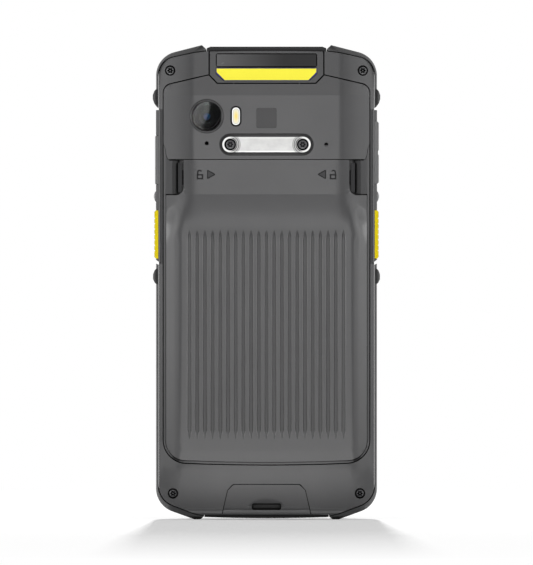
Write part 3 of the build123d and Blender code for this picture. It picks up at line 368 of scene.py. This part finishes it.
def bar_highlight_and_shade(surface, finish):
    """Rim painted brighter as a highlight, dark lines painted as shade at the steps beside the two screws, and black
    painted shade round them.
    """
    x, y, z = surface.axes()
    across = surface.math("ABSOLUTE", x)
    up = surface.math("SUBTRACT", z, strap_middle.z)
    beyond = surface.math("MAXIMUM", surface.math("SUBTRACT", across, strap_screw_x * mm), 0.0)
    # painted highlight along the rim
    rim = surface.ramp(surface.distance(beyond, up), 0.0, 1.0, 2.05 * mm, 2.25 * mm)
    finish = surface.blend(rim, finish, srgb(184, 184, 183))
    from_screw = surface.distance(surface.math("SUBTRACT", across, strap_screw_x * mm), up)
    inner_side = surface.ramp(across, 1.0, 0.0, (strap_screw_x - 0.9) * mm, (strap_screw_x + 0.1) * mm)
    # dark lines of painted shade at the steps beside each screw
    for radius, width, depth in ((2.3, 0.3, 1.0), (2.9, 0.28, 0.8), (3.4, 0.25, 0.5)):
        line = surface.band(from_screw, (radius - width / 2) * mm, (radius + width / 2) * mm, 0.1 * mm)
        line = surface.math("MULTIPLY", surface.math("MULTIPLY", line, inner_side), depth)
        finish = surface.blend(line, finish, srgb(20, 20, 21))
    # painted shade, black, in the recess round each screw
    return surface.blend(inside(surface, from_screw, 2.03), finish, srgb(4, 4, 5))


def slot_shade(surface, finish):
    """The slot at the lower end is painted dark inside as shade, less dark in a band across its floor."""
    x, y, z = surface.axes()
    slot = surface.math("MULTIPLY", inside(surface, surface.math("ABSOLUTE", x), slot_half),
                        inside(surface, z, slot_top))
    # painted shade, darker deeper in the slot
    deep = surface.ramp(y, 0.0, 1.0, (slot_floor - 2.4) * mm, (slot_floor - 0.6) * mm)
    rim = surface.band(z, (slot_top - 1.75) * mm, (slot_top - 0.65) * mm, 0.5 * mm)
    return finish, surface.ramp(surface.math("MULTIPLY", slot, deep), 1.0, surface.ramp(rim, 0.05, 0.4, 0, 1), 0, 1)


def slot_and_well_shade(surface, finish):
    """The slot at the lower end, and the recesses round the housing screws, painted dark as shade."""
    finish, cover = slot_shade(surface, finish)
    x, y, z = surface.axes()
    across = surface.math("ABSOLUTE", x)
    # painted shade, black, in the recesses round the housing screws
    for well_x, well_z in ((32.75, 152.7), (31.75, 9.0)):
        away = surface.distance(surface.math("SUBTRACT", across, well_x * mm),
                                surface.math("SUBTRACT", z, well_z * mm))
        cover = surface.math("MULTIPLY", cover, surface.ramp(inside(surface, away, 1.79), 1.0, 0.0, 0.0, 1.0))
    return finish, cover


strap_low, strap_high = (Vector(corner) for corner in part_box("strap_plate"))
strap_middle = (strap_low + strap_high) / 2
strap_half = (strap_high.x - strap_low.x) / 2 / mm
strap_radius = (strap_high.z - strap_low.z) / 2 / mm
strap_screw_x = strap_half - strap_radius - 0.075
flash_low, flash_high = (Vector(corner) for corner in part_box("flash_lens"))
flash_middle = (flash_low + flash_high) / 2
window_low, window_high = (Vector(corner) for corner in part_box("camera_window"))
window_middle = (window_low + window_high) / 2
panel_low, panel_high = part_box("label_panel")
panel_half, panel_z = panel_high[0] / mm, (panel_low[2] + panel_high[2]) / 2 / mm
strip_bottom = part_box("caution_strip")[0][2] / mm
bay_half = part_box("battery_bay")[1][0] / mm
mark_z = window_middle.z / mm - 0.6
slot_half, slot_top, slot_floor = 5.1, 5.72, -2.3

body_grey = srgb(49, 49, 50)
looks = {
    "housing_plastic": moulded("housing", body_grey, dress=slot_and_well_shade),
    "cover_plastic": moulded("cover", body_grey, dress=recessed_mark),
    "pack_plastic": moulded("pack", body_grey, dress=rib_field_shade, reach=1.2 * mm, open_from=0.4, open_to=0.99),
    "frame_plastic": moulded("frame", srgb(50, 50, 51), 0.3),
    "bay_plastic": moulded("bay", srgb(46, 46, 47), dress=latch_slope_shade),
    "insert_plastic": moulded("insert", body_grey, dress=slot_shade),
    "bezel_plastic": moulded("bezel", srgb(46, 46, 47)),
    "rail_plastic": moulded("rail", srgb(58, 58, 59), 0.2, relief=0.04),
    "trim_plastic": moulded("trim", srgb(24, 24, 25), 0.34, ior=1.25),
    "guard_rubber": moulded("guard", srgb(43, 43, 44), 0.45, grain=0.22, relief=0.2, ior=1.26),
    "key_plastic": moulded("key", srgb(46, 46, 47), 0.24, relief=0.04),
    "scan_yellow": moulded("scan_key", srgb(184, 166, 4), 0.4, relief=0.04, spread=0.03, ior=1.1),
    "latch_plastic": moulded("latch", srgb(34, 34, 35), 0.28, ior=1.19),
    "pack_inner_plastic": moulded("pack_inner", srgb(36, 36, 37), 0.4),
    "label_black": moulded("panel", srgb(52, 52, 53), 0.26, relief=0.03, dress=panel_glare_and_gap_shade),
    "label_yellow": moulded("caution", srgb(207, 199, 58), 0.4, relief=0.03, spread=0.02, ior=1.2,
                            dress=printed_strip),
    "seal_rubber": moulded("seal", srgb(30, 30, 30), 0.6),
    "ring_black": gloss("ring", srgb(30, 30, 31), 0.2, 1.36),
    "camera_black": gloss("lens_black", srgb(4, 4, 5), 0.35, 1.12),
    "display_black": gloss("display", srgb(12, 12, 13), 0.1),
    "board_green": gloss("board", srgb(30, 92, 58), 0.3, reach=inner),
    "flex_amber": gloss("flex", srgb(196, 138, 62), 0.25, reach=inner),
    "flash_phosphor": moulded("phosphor", srgb(244, 214, 110), 0.6, spread=0.06),
    "flash_white": moulded("flash_rim", srgb(4, 4, 5), 0.45, ior=1.1),
    "speaker_black": moulded("speaker", srgb(36, 36, 37), 0.5),
    "connector_black": moulded("connector", srgb(34, 34, 35), 0.4),
    "engine_black": moulded("engine", srgb(32, 32, 33), 0.4, reach=inner),
    "cell_foil": metal("foil", srgb(190, 190, 190), 0.35, 0.2, reach=inner),
    "strap_steel": metal("bar", srgb(164, 164, 163), 0.45, 0.12, bar_highlight_and_shade),
    "dark_steel": metal("screw", srgb(74, 74, 75), 0.42, 0.2, reach=0.7 * mm),
    "contact_gold": metal("gold", srgb(222, 184, 104), 0.25, 0.2),
    "spring_steel": metal("spring", srgb(180, 180, 182), 0.25, 0.2),
    "chassis_metal": metal("chassis", srgb(172, 173, 175), 0.42, 0.3, reach=inner),
    "shield_tin": metal("shield", srgb(196, 197, 198), 0.3, 0.3, reach=inner),
    "port_steel": metal("port", srgb(178, 179, 181), 0.3, 0.3),
    "switch_steel": metal("switch", srgb(184, 185, 187), 0.3, 0.3, reach=inner),
    "mesh_black": metal("mesh", srgb(40, 40, 41), 0.45, 0.3),
    "camera_glass": glass("camera_glass", srgb(235, 238, 240), 0.01, ior=1.12),
    "flash_clear": moulded("flash_lens", srgb(236, 236, 236), 0.3, relief=0.02, spread=0.03, ior=1.15,
                           dress=flash_diffuser),
    "screen_glass": glass("screen_glass", srgb(40, 40, 42), 0.03, 0.35),
    "scan_glass": glass("scan_glass", srgb(64, 20, 24), 0.04, 0.8),
}


lens_coat = coated_lens("lens_coat")
# dark ink for the printed signs, also used as painted shade in the screw sockets
sign_ink_and_socket_shade = moulded("sign", srgb(24, 24, 25), 0.4, spread=0.03, ior=1.15)
sign_fill = moulded("sign_fill", srgb(44, 44, 45), 0.35, spread=0.03, ior=1.25)


def add_piece(name, mesh, body, slot, look=None):
    piece = bpy.data.objects.new(name, mesh)
    scene.collection.objects.link(piece)
    mesh.materials.clear()
    mesh.materials.append(look or looks[slot])
    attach(piece, body)
    return piece


def dress_nodes():
    """Gives every CAD node its finish."""
    for name, node in nodes.items():
        for part in [node, *node.children_recursive]:
            if part.type == "MESH":
                part.data.materials.clear()
                part.data.materials.append(looks[slot_of_node[name]])


dress_nodes()


# ---- rounded copies of the moulded pieces ----


def softened(name, width, creases=(), keep=None, reshape=None, segments=2, angle=24):
    """A copy of a node with its edges rounded, as a mould leaves them.

    Creases are heights at which the surface turns a little and stays crisp.
    """
    mesh = nodes[name].data.copy()
    shape = bmesh.new()
    shape.from_mesh(mesh)
    bmesh.ops.remove_doubles(shape, verts=shape.verts, dist=0.003 * mm)
    if reshape:
        reshape(shape)
    bmesh.ops.dissolve_limit(
        shape, angle_limit=radians(0.1), verts=shape.verts, edges=shape.edges, use_dissolve_boundaries=False
    )
    edges = [e for e in shape.edges if len(e.link_faces) == 2 and e.calc_face_angle(0) > radians(angle)]
    if keep:
        edges = [e for e in edges if keep(e)]
    bmesh.ops.bevel(
        shape, geom=edges, offset=width * mm, offset_type="OFFSET", segments=segments, profile=0.5,
        affect="EDGES", clamp_overlap=True, material=-1,
    )
    shape.to_mesh(mesh)
    shape.free()
    for attribute in [a for a in mesh.attributes if a.name == "custom_normal"]:
        mesh.attributes.remove(attribute)
    for polygon in mesh.polygons:
        polygon.use_smooth = True
    mesh.set_sharp_from_angle(angle=radians(38))
    for edge in mesh.edges:
        heights = [mesh.vertices[index].co.z / mm for index in edge.vertices]
        if any(max(abs(z - crease) for z in heights) < 0.04 for crease in creases):
            edge.use_edge_sharp = True
    piece = add_piece(name + "_skin", mesh, body_of_node[name], slot_of_node[name])
    weighted = piece.modifiers.new("normals", "WEIGHTED_NORMAL")
    weighted.mode = "FACE_AREA"
    weighted.weight = 60
    weighted.keep_sharp = True
    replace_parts(piece, name)
    return piece


rounding = {
    "rear_housing": 0.18, "front_frame": 0.18, "battery_bay": 0.12, "camera_cover": 0.16,
    "battery_shell": 0.07, "battery_latch_left": 0.12, "battery_latch_right": 0.12,
    "strap_insert": 0.14, "scan_bezel": 0.12, "top_trim": 0.15,
    "bottom_trim": 0.12, "side_rail_left": 0.15, "side_rail_right": 0.15, "left_key": 0.18,
    "volume_rocker": 0.2, "scan_key_left": 0.12, "scan_key_right": 0.12,
    "upper_guard_left": 0.2, "upper_guard_right": 0.2, "lower_guard_left": 0.2,
    "lower_guard_right": 0.2, "flash_bezel": 0.08, "camera_ring": 0.08, "touch_glass": 0.08,
    "label_panel": 0.03, "caution_strip": 0.03,
}
roll_top, roll_reach = 4.3, 28.5  # the flat back runs further down than the plain solid's


def drop_roll(shape):
    """Carries the flat lower back down to a tight edge at the bottom."""
    tree = BVHTree.FromBMesh(shape)
    for z in (2.35, 2.1, 1.85):
        everything = [*shape.verts, *shape.edges, *shape.faces]
        bmesh.ops.bisect_plane(shape, geom=everything, plane_co=(0, 0, z * mm), plane_no=(0, 0, 1))
    shape.normal_update()

    def depth(x, z):
        for share in (1.0, 0.87):
            hit = tree.ray_cast(Vector((x * share, -0.03, z * mm)), Vector((0, 1, 0)))[0]
            if hit and hit.y < -4.9 * mm:
                return hit.y
        return None

    for vert in shape.verts:
        x, y, z = vert.co
        outer = any(face.normal.y < -0.15 for face in vert.link_faces)
        if not (outer and z < roll_top * mm and y < -4.9 * mm and abs(x) < roll_reach * mm):
            continue
        near, far = depth(x, 6.0), depth(x, 7.5)
        if near is None or far is None:
            continue
        flat = near + (near - far) * (6.0 - z / mm) / 1.5
        roll = 1.1 * max(0.0, 2.1 - z / mm) ** 2 * mm
        vert.co.y = min(y, flat + roll)


def hollow_ramp(shape):
    """Makes the ramp at the end of the rib field steeper at its rim, in a hollow curve."""
    tree = BVHTree.FromBMesh(shape)
    rim_z, length, corner, plain_half, below_ribs = battery_high_z - 11.7, 9.6, 12.0, panel_half + 5.2, 25.5
    for vert in shape.verts:
        x, y, z = vert.co / mm
        if not (rim_z - corner - length < z < rim_z - 0.02 and any(face.normal.y < -0.3 for face in vert.link_faces)):
            continue
        reach = min(max(abs(x) - plain_half, 0.0), corner * 0.96)
        end = rim_z - corner + (corner**2 - reach**2) ** 0.5
        along = min(max((z - end + length) / length, 0.0), 1.0)
        hit = tree.ray_cast(Vector((x, -30, below_ribs)) * mm, Vector((0, 1, 0)))[0]
        if hit and 0.02 < along < 1 and y < hit.y / mm + 1.5:
            vert.co.y = hit.y + (vert.co.y - hit.y) * along**0.9


reshaping = {"rear_housing": drop_roll, "strap_insert": drop_roll, "battery_shell": hollow_ramp}
battery_low_z, battery_high_z = (corner[2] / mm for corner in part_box("battery_shell"))
cover_crease = battery_high_z + 21.9
creases = {
    "battery_shell": (battery_high_z - 11.7, battery_low_z + 3.8),
    "camera_cover": (cover_crease,),
    "rear_housing": (cover_crease,),
}
screw_places = [(side * x, z, top) for side in (-1, 1) for x, z, top in ((32.75, 152.7, -4.5), (31.75, 9.0, -5.3))]


def away_from_screws(edge):
    """False on the rims of the recesses that the housing screws sit in."""
    middle = (edge.verts[0].co + edge.verts[1].co) / 2 / mm
    return all((middle.x - x) ** 2 + (middle.z - z) ** 2 > 2.2**2 for x, z, top in screw_places)


for node_name, width in rounding.items():
    softened(node_name, width, creases.get(node_name, ()), away_from_screws, reshaping.get(node_name))


# ---- small turned and cut pieces ----


def stack(shape, x, z, loops, stretch=0.0, count=48):
    """A closed form about an axis along Y, in millimetres.

    Each loop gives its depth and its radius, which may depend on the angle. A stretch pulls the
    form out sideways to a slot with round ends.
    """

    def lay(verts, depth, radius):
        for vert in verts:
            across = vert.co.x / mm - x
            across -= copysign(stretch, across)
            angle = atan2(vert.co.z / mm - z, across)
            size = radius(angle) if callable(radius) else radius
            across = size * cos(angle)
            vert.co = Vector((x + across + copysign(stretch, across), depth, z + size * sin(angle))) * mm

    middle = Matrix.Translation(Vector((x, 0, z)) * mm)
    turn = Matrix.Rotation(radians(90), 4, "X") @ Matrix.Rotation(pi / count, 4, "Z")
    first = bmesh.ops.create_circle(shape, cap_ends=True, radius=mm, segments=count, matrix=middle @ turn)["verts"]
    for vert in first:
        across = vert.co.x / mm - x
        vert.co.x += copysign(stretch, across) * mm
    lay(first, *loops[0])
    rim = list({edge for vert in first for edge in vert.link_edges})
    for loop in loops[1:]:
        grown = bmesh.ops.extrude_edge_only(shape, edges=rim)["geom"]
        verts = [item for item in grown if isinstance(item, bmesh.types.BMVert)]
        lay(verts, *loop)
        ends = set(verts)
        rim = [item for item in grown if isinstance(item, bmesh.types.BMEdge) and set(item.verts) <= ends]
    bmesh.ops.contextual_create(shape, geom=rim)
    bmesh.ops.recalc_face_normals(shape, faces=shape.faces)


def finished(name, shape, body, slot, look=None, smooth=30):
    """Turns a bmesh into a piece with crisp edges past an angle."""
    mesh = bpy.data.meshes.new(name)
    shape.to_mesh(mesh)
    shape.free()
    for polygon in mesh.polygons:
        polygon.use_smooth = True
    mesh.set_sharp_from_angle(angle=radians(smooth))
    return add_piece(name, mesh, body, slot, look)


def carved(shape, cutters):
    """A mesh of one bmesh with the others cut out of it."""
    objects = []
    for part in [shape, *cutters]:
        mesh = bpy.data.meshes.new("blank")
        part.to_mesh(mesh)
        part.free()
        objects.append(bpy.data.objects.new("blank", mesh))
        scene.collection.objects.link(objects[-1])
    for cutter in objects[1:]:
        modifier = objects[0].modifiers.new("cut", "BOOLEAN")
        modifier.operation, modifier.solver, modifier.object = "DIFFERENCE", "EXACT", cutter
    bpy.context.view_layer.update()
    solid = objects[0].evaluated_get(bpy.context.evaluated_depsgraph_get())
    result = bmesh.new()
    result.from_mesh(bpy.data.meshes.new_from_object(solid))
    for blank in objects:
        bpy.data.objects.remove(blank)
    return result


def disc(x, z, top, bottom, radius, count=48):
    shape = bmesh.new()
    stack(shape, x, z, [(top, radius), (bottom, radius)], count=count)
    return shape


def six_lobes(size):
    """Outline of a six-lobe socket."""
    return lambda angle: size * (1 + 0.2 * cos(6 * angle))


def pan_head(shape, x, z, top, radius, height, shank):
    """A screw with a rounded head, a six-lobe socket and a plain shank."""
    socket = radius * 0.6
    loops = [
        (top + height + shank, 0.8), (top + height, 0.8), (top + height, radius), (top + 0.25, radius),
        (top + 0.08, radius - 0.07), (top, radius - 0.24), (top, six_lobes(socket + 0.06)),
        (top + 0.08, six_lobes(socket)), (top + 0.55 * height, six_lobes(socket * 0.97)),
        (top + 0.55 * height, socket * 0.45), (top + 0.42 * height, socket * 0.3),
    ]
    stack(shape, x, z, loops, count=60)


def paint_socket_shade(screws, places, radius):
    """Paints the walls and floors of the sockets black, as the shade in them, and leaves the pin in the middle."""
    screws.data.materials.append(sign_ink_and_socket_shade)
    for polygon in screws.data.polygons:
        middle = polygon.center / mm
        for x, z, top in places:
            away = ((middle.x - x) ** 2 + (middle.z - z) ** 2) ** 0.5
            if 0.35 * radius < away < 0.78 * radius and top + 0.02 < middle.y < top + radius:
                polygon.material_index = 1


def add_screws():
    heads = bmesh.new()
    for x, z, top in screw_places:
        pan_head(heads, x, z, top, 1.34, 1.8, 3.0)
    case_screws = finished("case_screws", heads, "terminal", "dark_steel")
    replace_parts(case_screws, "housing_screws")
    heads = bmesh.new()
    bar_places = [(side * strap_screw_x, strap_middle.z / mm, strap_low.y / mm + 0.1) for side in (-1, 1)]
    for x, z, top in bar_places:
        pan_head(heads, x, z, top, 1.45, 0.8, 2.6)
    bar_screws = finished("bar_screws", heads, "terminal", "dark_steel")
    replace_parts(bar_screws, "strap_plate_screws")
    paint_socket_shade(case_screws, screw_places, 1.34)
    paint_socket_shade(bar_screws, bar_places, 1.45)


def add_strap_bar():
    """Bright bar with a chamfered rim, stepped round two screws that stand on its feet."""
    top, foot_end, middle = strap_low.y / mm, strap_high.y / mm, strap_middle.z / mm
    bar = bmesh.new()
    rim = 0.16
    stack(bar, 0, middle, [(top + 1.3, strap_radius - 0.05), (top + 1.25, strap_radius),
                           (top + rim, strap_radius), (top + rim / 3, strap_radius - rim / 3),
                           (top, strap_radius - rim)], stretch=strap_half - strap_radius, count=96)
    cuts = []
    for side in (-1, 1):
        for radius, depth in ((3.2, 0.1), (2.75, 0.25), (2.0, 0.9)):
            cuts.append(disc(side * strap_screw_x, middle, top - 1, top + depth, radius))
    bar = carved(bar, cuts)
    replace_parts(finished("strap_bar", bar, "terminal", "strap_steel"), "strap_plate")
    feet = bmesh.new()
    for side in (-1, 1):
        outline = [(top + 1.0, 2.1), (foot_end, 2.1)]
        stack(feet, side * strap_screw_x, middle, outline)
    finished("strap_bar_feet", feet, "terminal", "strap_steel")


def add_lens():
    """Flat window over a stepped barrel with a coated dome."""
    x, z, back = window_middle.x / mm, window_middle.z / mm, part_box("camera_module")[1][1] / mm
    outer, face, under = (window_high.x - window_low.x) / 2 / mm, window_low.y / mm, window_high.y / mm
    pane = bmesh.new()
    stack(pane, x, z, [(under, outer), (face + 0.15, outer), (face, outer - 0.15)], count=96)
    window = finished("lens_window", pane, "terminal", "camera_glass")
    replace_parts(window, "camera_window")
    front = window_high.y / mm + 0.2
    barrel = bmesh.new()
    stack(barrel, x, z, [(back, 4.1), (front, 4.1), (front, 3.75), (front + 0.25, 3.6), (front + 0.25, 3.2),
                         (front + 0.6, 3.1), (front + 0.6, 2.75), (front + 1.0, 2.5), (front + 1.0, 2.2),
                         (front + 1.5, 2.1), (front + 1.5, 1.0)])
    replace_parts(finished("lens_barrel", barrel, "terminal", "camera_black"), "camera_module")
    dome = bmesh.new()
    rise = [(front + 1.45 - 0.45 * sin(radians(a)), 1.25 * cos(radians(a))) for a in range(0, 81, 10)]
    stack(dome, x, z, [(front + 1.5, 1.1), *rise, (front + 1.0, 0.08)])
    return window, finished("lens_dome", dome, "terminal", "camera_black", lens_coat, 60)


def ribbon(shape, points, width, top, bottom):
    """A flat strip along a line of points in the XZ plane, with square ends."""
    pairs = []
    for n, (x, z) in enumerate(points):
        before, after = points[max(n - 1, 0)], points[min(n + 1, len(points) - 1)]
        along = Vector((after[0] - before[0], after[1] - before[1])).normalized()
        side = Vector((-along.y, along.x)) * width / 2
        pairs.append([shape.verts.new(Vector((x + s * side.x, top, z + s * side.y)) * mm) for s in (-1, 1)])
    faces = [shape.faces.new((a[0], a[1], b[1], b[0])) for a, b in zip(pairs, pairs[1:])]
    thicken(shape, faces, bottom - top)


def thicken(shape, faces, depth):
    """Gives flat faces a thickness, away from the camera's side."""
    grown = bmesh.ops.extrude_face_region(shape, geom=faces, use_keep_orig=True)["geom"]
    verts = [item for item in grown if isinstance(item, bmesh.types.BMVert)]
    bmesh.ops.translate(shape, verts=verts, vec=Vector((0, depth, 0)) * mm)
    bmesh.ops.recalc_face_normals(shape, faces=shape.faces)


def plate(shape, points, top, bottom):
    thicken(shape, [shape.faces.new([shape.verts.new(Vector((x, top, z)) * mm) for x, z in points])], bottom - top)


def add_signs():
    """Small open padlocks and arrows on the pack, beside the two latches."""
    face = window_low.y / mm - 0.1
    top, bottom = face - 0.012, face + 0.05
    for side in (-1, 1):
        lines = bmesh.new()
        lock_x, lock_z, half_x, half_z, line = side * 22.6, 116.55, 0.86, 0.66, 0.46
        for edge in ((-1, 1), (1, -1)):
            ribbon(lines, [(lock_x - half_x - line / 2, lock_z + edge[0] * half_z),
                           (lock_x + half_x + line / 2, lock_z + edge[0] * half_z)], line, top, bottom)
            ribbon(lines, [(lock_x + edge[0] * half_x, lock_z - half_z),
                           (lock_x + edge[0] * half_x, lock_z + half_z)], line, top - 0.001, bottom)
        arch = [(lock_x + side * 0.68 - side * 0.5, lock_z + 0.7)]
        arch_x, arch_z, arch_radius = lock_x + side * 0.14, lock_z + 1.55, 0.62
        arch = [(arch_x + side * arch_radius, lock_z + 0.8)]
        arch += [(arch_x + side * arch_radius * cos(radians(a)), arch_z + arch_radius * sin(radians(a)))
                 for a in range(0, 161, 20)]
        ribbon(lines, arch, 0.42, top - 0.002, bottom)
        corners = [(side * 20.0, 118.75), (side * 17.55, 117.35), (side * 20.0, 115.95)]
        for start, end in zip(corners, corners[1:] + corners[:1]):
            ribbon(lines, [start, end], 0.34, top - 0.003, bottom)
        finished(f"sign_lines_{side}", lines, "battery", "pack_plastic", sign_ink_and_socket_shade)
        arrow = bmesh.new()
        plate(arrow, corners, top, bottom)
        finished(f"sign_arrow_{side}", arrow, "battery", "pack_plastic", sign_fill)


def add_springs():
    """The springs behind the latches, which shorten as the latches are squeezed."""
    for hand, inner_corner in (("left", 1), ("right", 0)):
        node = f"latch_spring_{hand}"
        spring = add_piece(node + "_coil", nodes[node].data.copy(), body_of_node[node], slot_of_node[node])
        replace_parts(spring, node)
        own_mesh(spring)


add_screws()
add_springs()
add_strap_bar()
lens_window, lens_dome = add_lens()
add_signs()


# ---- floor, backdrop and light ----

floor_reach = 0.3
floor_glow = 0.33


def floor_material():
    """White floor that keeps a faint shadow near the object and fades into the backdrop."""
    surface = Surface("floor")
    tree = surface.tree
    grain = surface.noise(2.5 * mm, 2.0)
    tint = surface.blend(grain, (0.80, 0.80, 0.80, 1), (0.83, 0.83, 0.83, 1))
    surface.link(tint, "Base Color")
    surface.set(Roughness=0.9, Specular_IOR_Level=0.0)
    rays = surface.node("ShaderNodeLightPath")
    seen = surface.node("ShaderNodeMath", {0: rays.outputs["Is Camera Ray"], 1: rays.outputs["Is Glossy Ray"]},
                        operation="MAXIMUM").outputs[0]
    seen = surface.node("ShaderNodeMath", {0: seen, 1: rays.outputs["Is Transmission Ray"]},
                        operation="MAXIMUM").outputs[0]
    glow = surface.node("ShaderNodeEmission", {"Strength": floor_glow})
    white = surface.node("ShaderNodeEmission", {"Strength": 1.0})
    lit = surface.node("ShaderNodeAddShader", {0: surface.shader.outputs[0], 1: glow.outputs[0]})
    distance = surface.node("ShaderNodeVectorMath", {0: surface.place}, operation="LENGTH").outputs["Value"]
    far = surface.ramp(distance, 0, 1, 0.32 * floor_reach, floor_reach)
    near = surface.node("ShaderNodeMixShader", {0: far, 1: lit.outputs[0], 2: white.outputs[0]})
    final = surface.node("ShaderNodeMixShader", {0: seen, 1: surface.shader.outputs[0], 2: near.outputs[0]})
    tree.links.new(final.outputs[0], tree.nodes["Material Output"].inputs["Surface"])
    return surface.material


def add_floor():
    mesh = bpy.data.meshes.new("floor")
    reach = 6.0
    mesh.from_pydata([(-reach, -reach, 0), (reach, -reach, 0), (reach, reach, 0), (-reach, reach, 0)],
                     [], [(0, 1, 2, 3)])
    mesh.materials.append(floor_material())
    floor = bpy.data.objects.new("floor", mesh)
    scene.collection.objects.link(floor)


def add_world():
    world = bpy.data.worlds.new("studio")
    world.use_nodes = True
    tree = world.node_tree
    background = tree.nodes["Background"]
    rays = tree.nodes.new("ShaderNodeLightPath")
    dim = tree.nodes.new("ShaderNodeBackground")
    dim.inputs["Strength"].default_value = 0.12
    background.inputs["Color"].default_value = (1, 1, 1, 1)
    background.inputs["Strength"].default_value = 1.0
    seen = rays.outputs["Is Camera Ray"]
    for kind in ("Is Glossy Ray", "Is Transmission Ray"):
        either = tree.nodes.new("ShaderNodeMath")
        either.operation = "MAXIMUM"
        tree.links.new(seen, either.inputs[0])
        tree.links.new(rays.outputs[kind], either.inputs[1])
        seen = either.outputs[0]
    mix = tree.nodes.new("ShaderNodeMixShader")
    tree.links.new(seen, mix.inputs[0])
    tree.links.new(dim.outputs[0], mix.inputs[1])
    tree.links.new(background.outputs[0], mix.inputs[2])
    tree.links.new(mix.outputs[0], tree.nodes["World Output"].inputs["Surface"])
    scene.world = world


def add_lamp(name, azimuth, elevation, distance, width, height, radiance, aim=centre):
    """A softbox that faces the object. Azimuth is from the camera's axis, to the right."""
    data = bpy.data.lights.new(name, "AREA")
    data.shape = "RECTANGLE"
    data.size, data.size_y = width, height
    data.energy = radiance * pi * width * height
    lamp = bpy.data.objects.new(name, data)
    across, up = radians(azimuth), radians(elevation)
    lamp.location = aim + distance * Vector((sin(across) * cos(up), -cos(across) * cos(up), sin(up)))
    lamp.rotation_euler = (aim - lamp.location).to_track_quat("-Z", "Y").to_euler()
    scene.collection.objects.link(lamp)
    return lamp


def lights(lamp, pieces, state):
    """Keeps a lamp to some pieces, or keeps it off them."""
    chosen = bpy.data.collections.new(lamp.name + "_pieces")
    for piece in pieces:
        chosen.objects.link(piece)
    for entry in chosen.collection_objects:
        entry.light_linking.link_state = state
    lamp.light_linking.receiver_collection = chosen


def add_lens_lamp():
    """A box whose slanted edge shows in the flat camera window."""
    lamp = add_lamp("lens_box", 0, 0, 1.0, 0.10, 0.10, 19.0)
    camera = scene.camera.location
    reach = 1.5
    towards = Vector((window_middle.x - camera.x, camera.y - window_middle.y, window_middle.z - camera.z))
    meeting = window_middle + towards * (reach / -towards.y)
    lean = radians(18)
    along, across = Vector((sin(lean), 0, cos(lean))), Vector((cos(lean), 0, -sin(lean)))
    place = meeting - across * 0.05
    lamp.matrix_world = Matrix.Translation(place) @ Matrix((across, along, (0, -1, 0))).transposed().to_4x4()
    lights(lamp, [lens_window], "INCLUDE")


def add_lamps():
    for name, elevation, height, radiance in (("front_box", 8, 0.9, 1.6), ("level_box", 2, 0.26, 2.35)):
        front = add_lamp(name, 0, elevation, 1.5, 0.28, height, radiance)
        lights(front, [lens_window, lens_dome], "EXCLUDE")
    for name, azimuth, elevation, colour in (("blue_spot", -24, -19, (0.3, 0.3, 1.0)),
                                             ("teal_spot", 17, 13, (0.1, 1.0, 0.8))):
        spot = add_lamp(name, azimuth, elevation, 0.3, 0.08, 0.12, 80.0, window_middle)
        spot.data.color = colour
        lights(spot, [lens_dome], "INCLUDE")
        clear = bpy.data.collections.new(name + "_clear")
        clear.objects.link(lens_window)
        clear.collection_objects[0].light_linking.link_state = "EXCLUDE"
        spot.light_linking.blocker_collection = clear
    for side in (-1, 1):
        add_lamp(f"side_box_{side}", side * 31, 6, 1.3, 0.34, 0.95, 2.2)
        add_lamp(f"outer_box_{side}", side * 47, 4, 1.3, 0.36, 0.8, 4.1)
        add_lamp(f"edge_box_{side}", side * 78, 0, 1.1, 0.8, 0.55, 7.4)
    low = add_lamp("low_box", 0, 0, 0.235, 0.2, 0.25, 6.2)
    low.location.z = 2 * mm
    low.rotation_euler = (radians(180), 0, 0)
    low.visible_camera = False
    floor_lamp = add_lamp("floor_box", 180, 32, 1.2, 0.06, 0.06, 1250.0)
    lights(floor_lamp, [bpy.data.objects["floor"]], "INCLUDE")
    add_lens_lamp()


scene.view_settings.view_transform = "Standard"
add_floor()
add_world()
add_lamps()
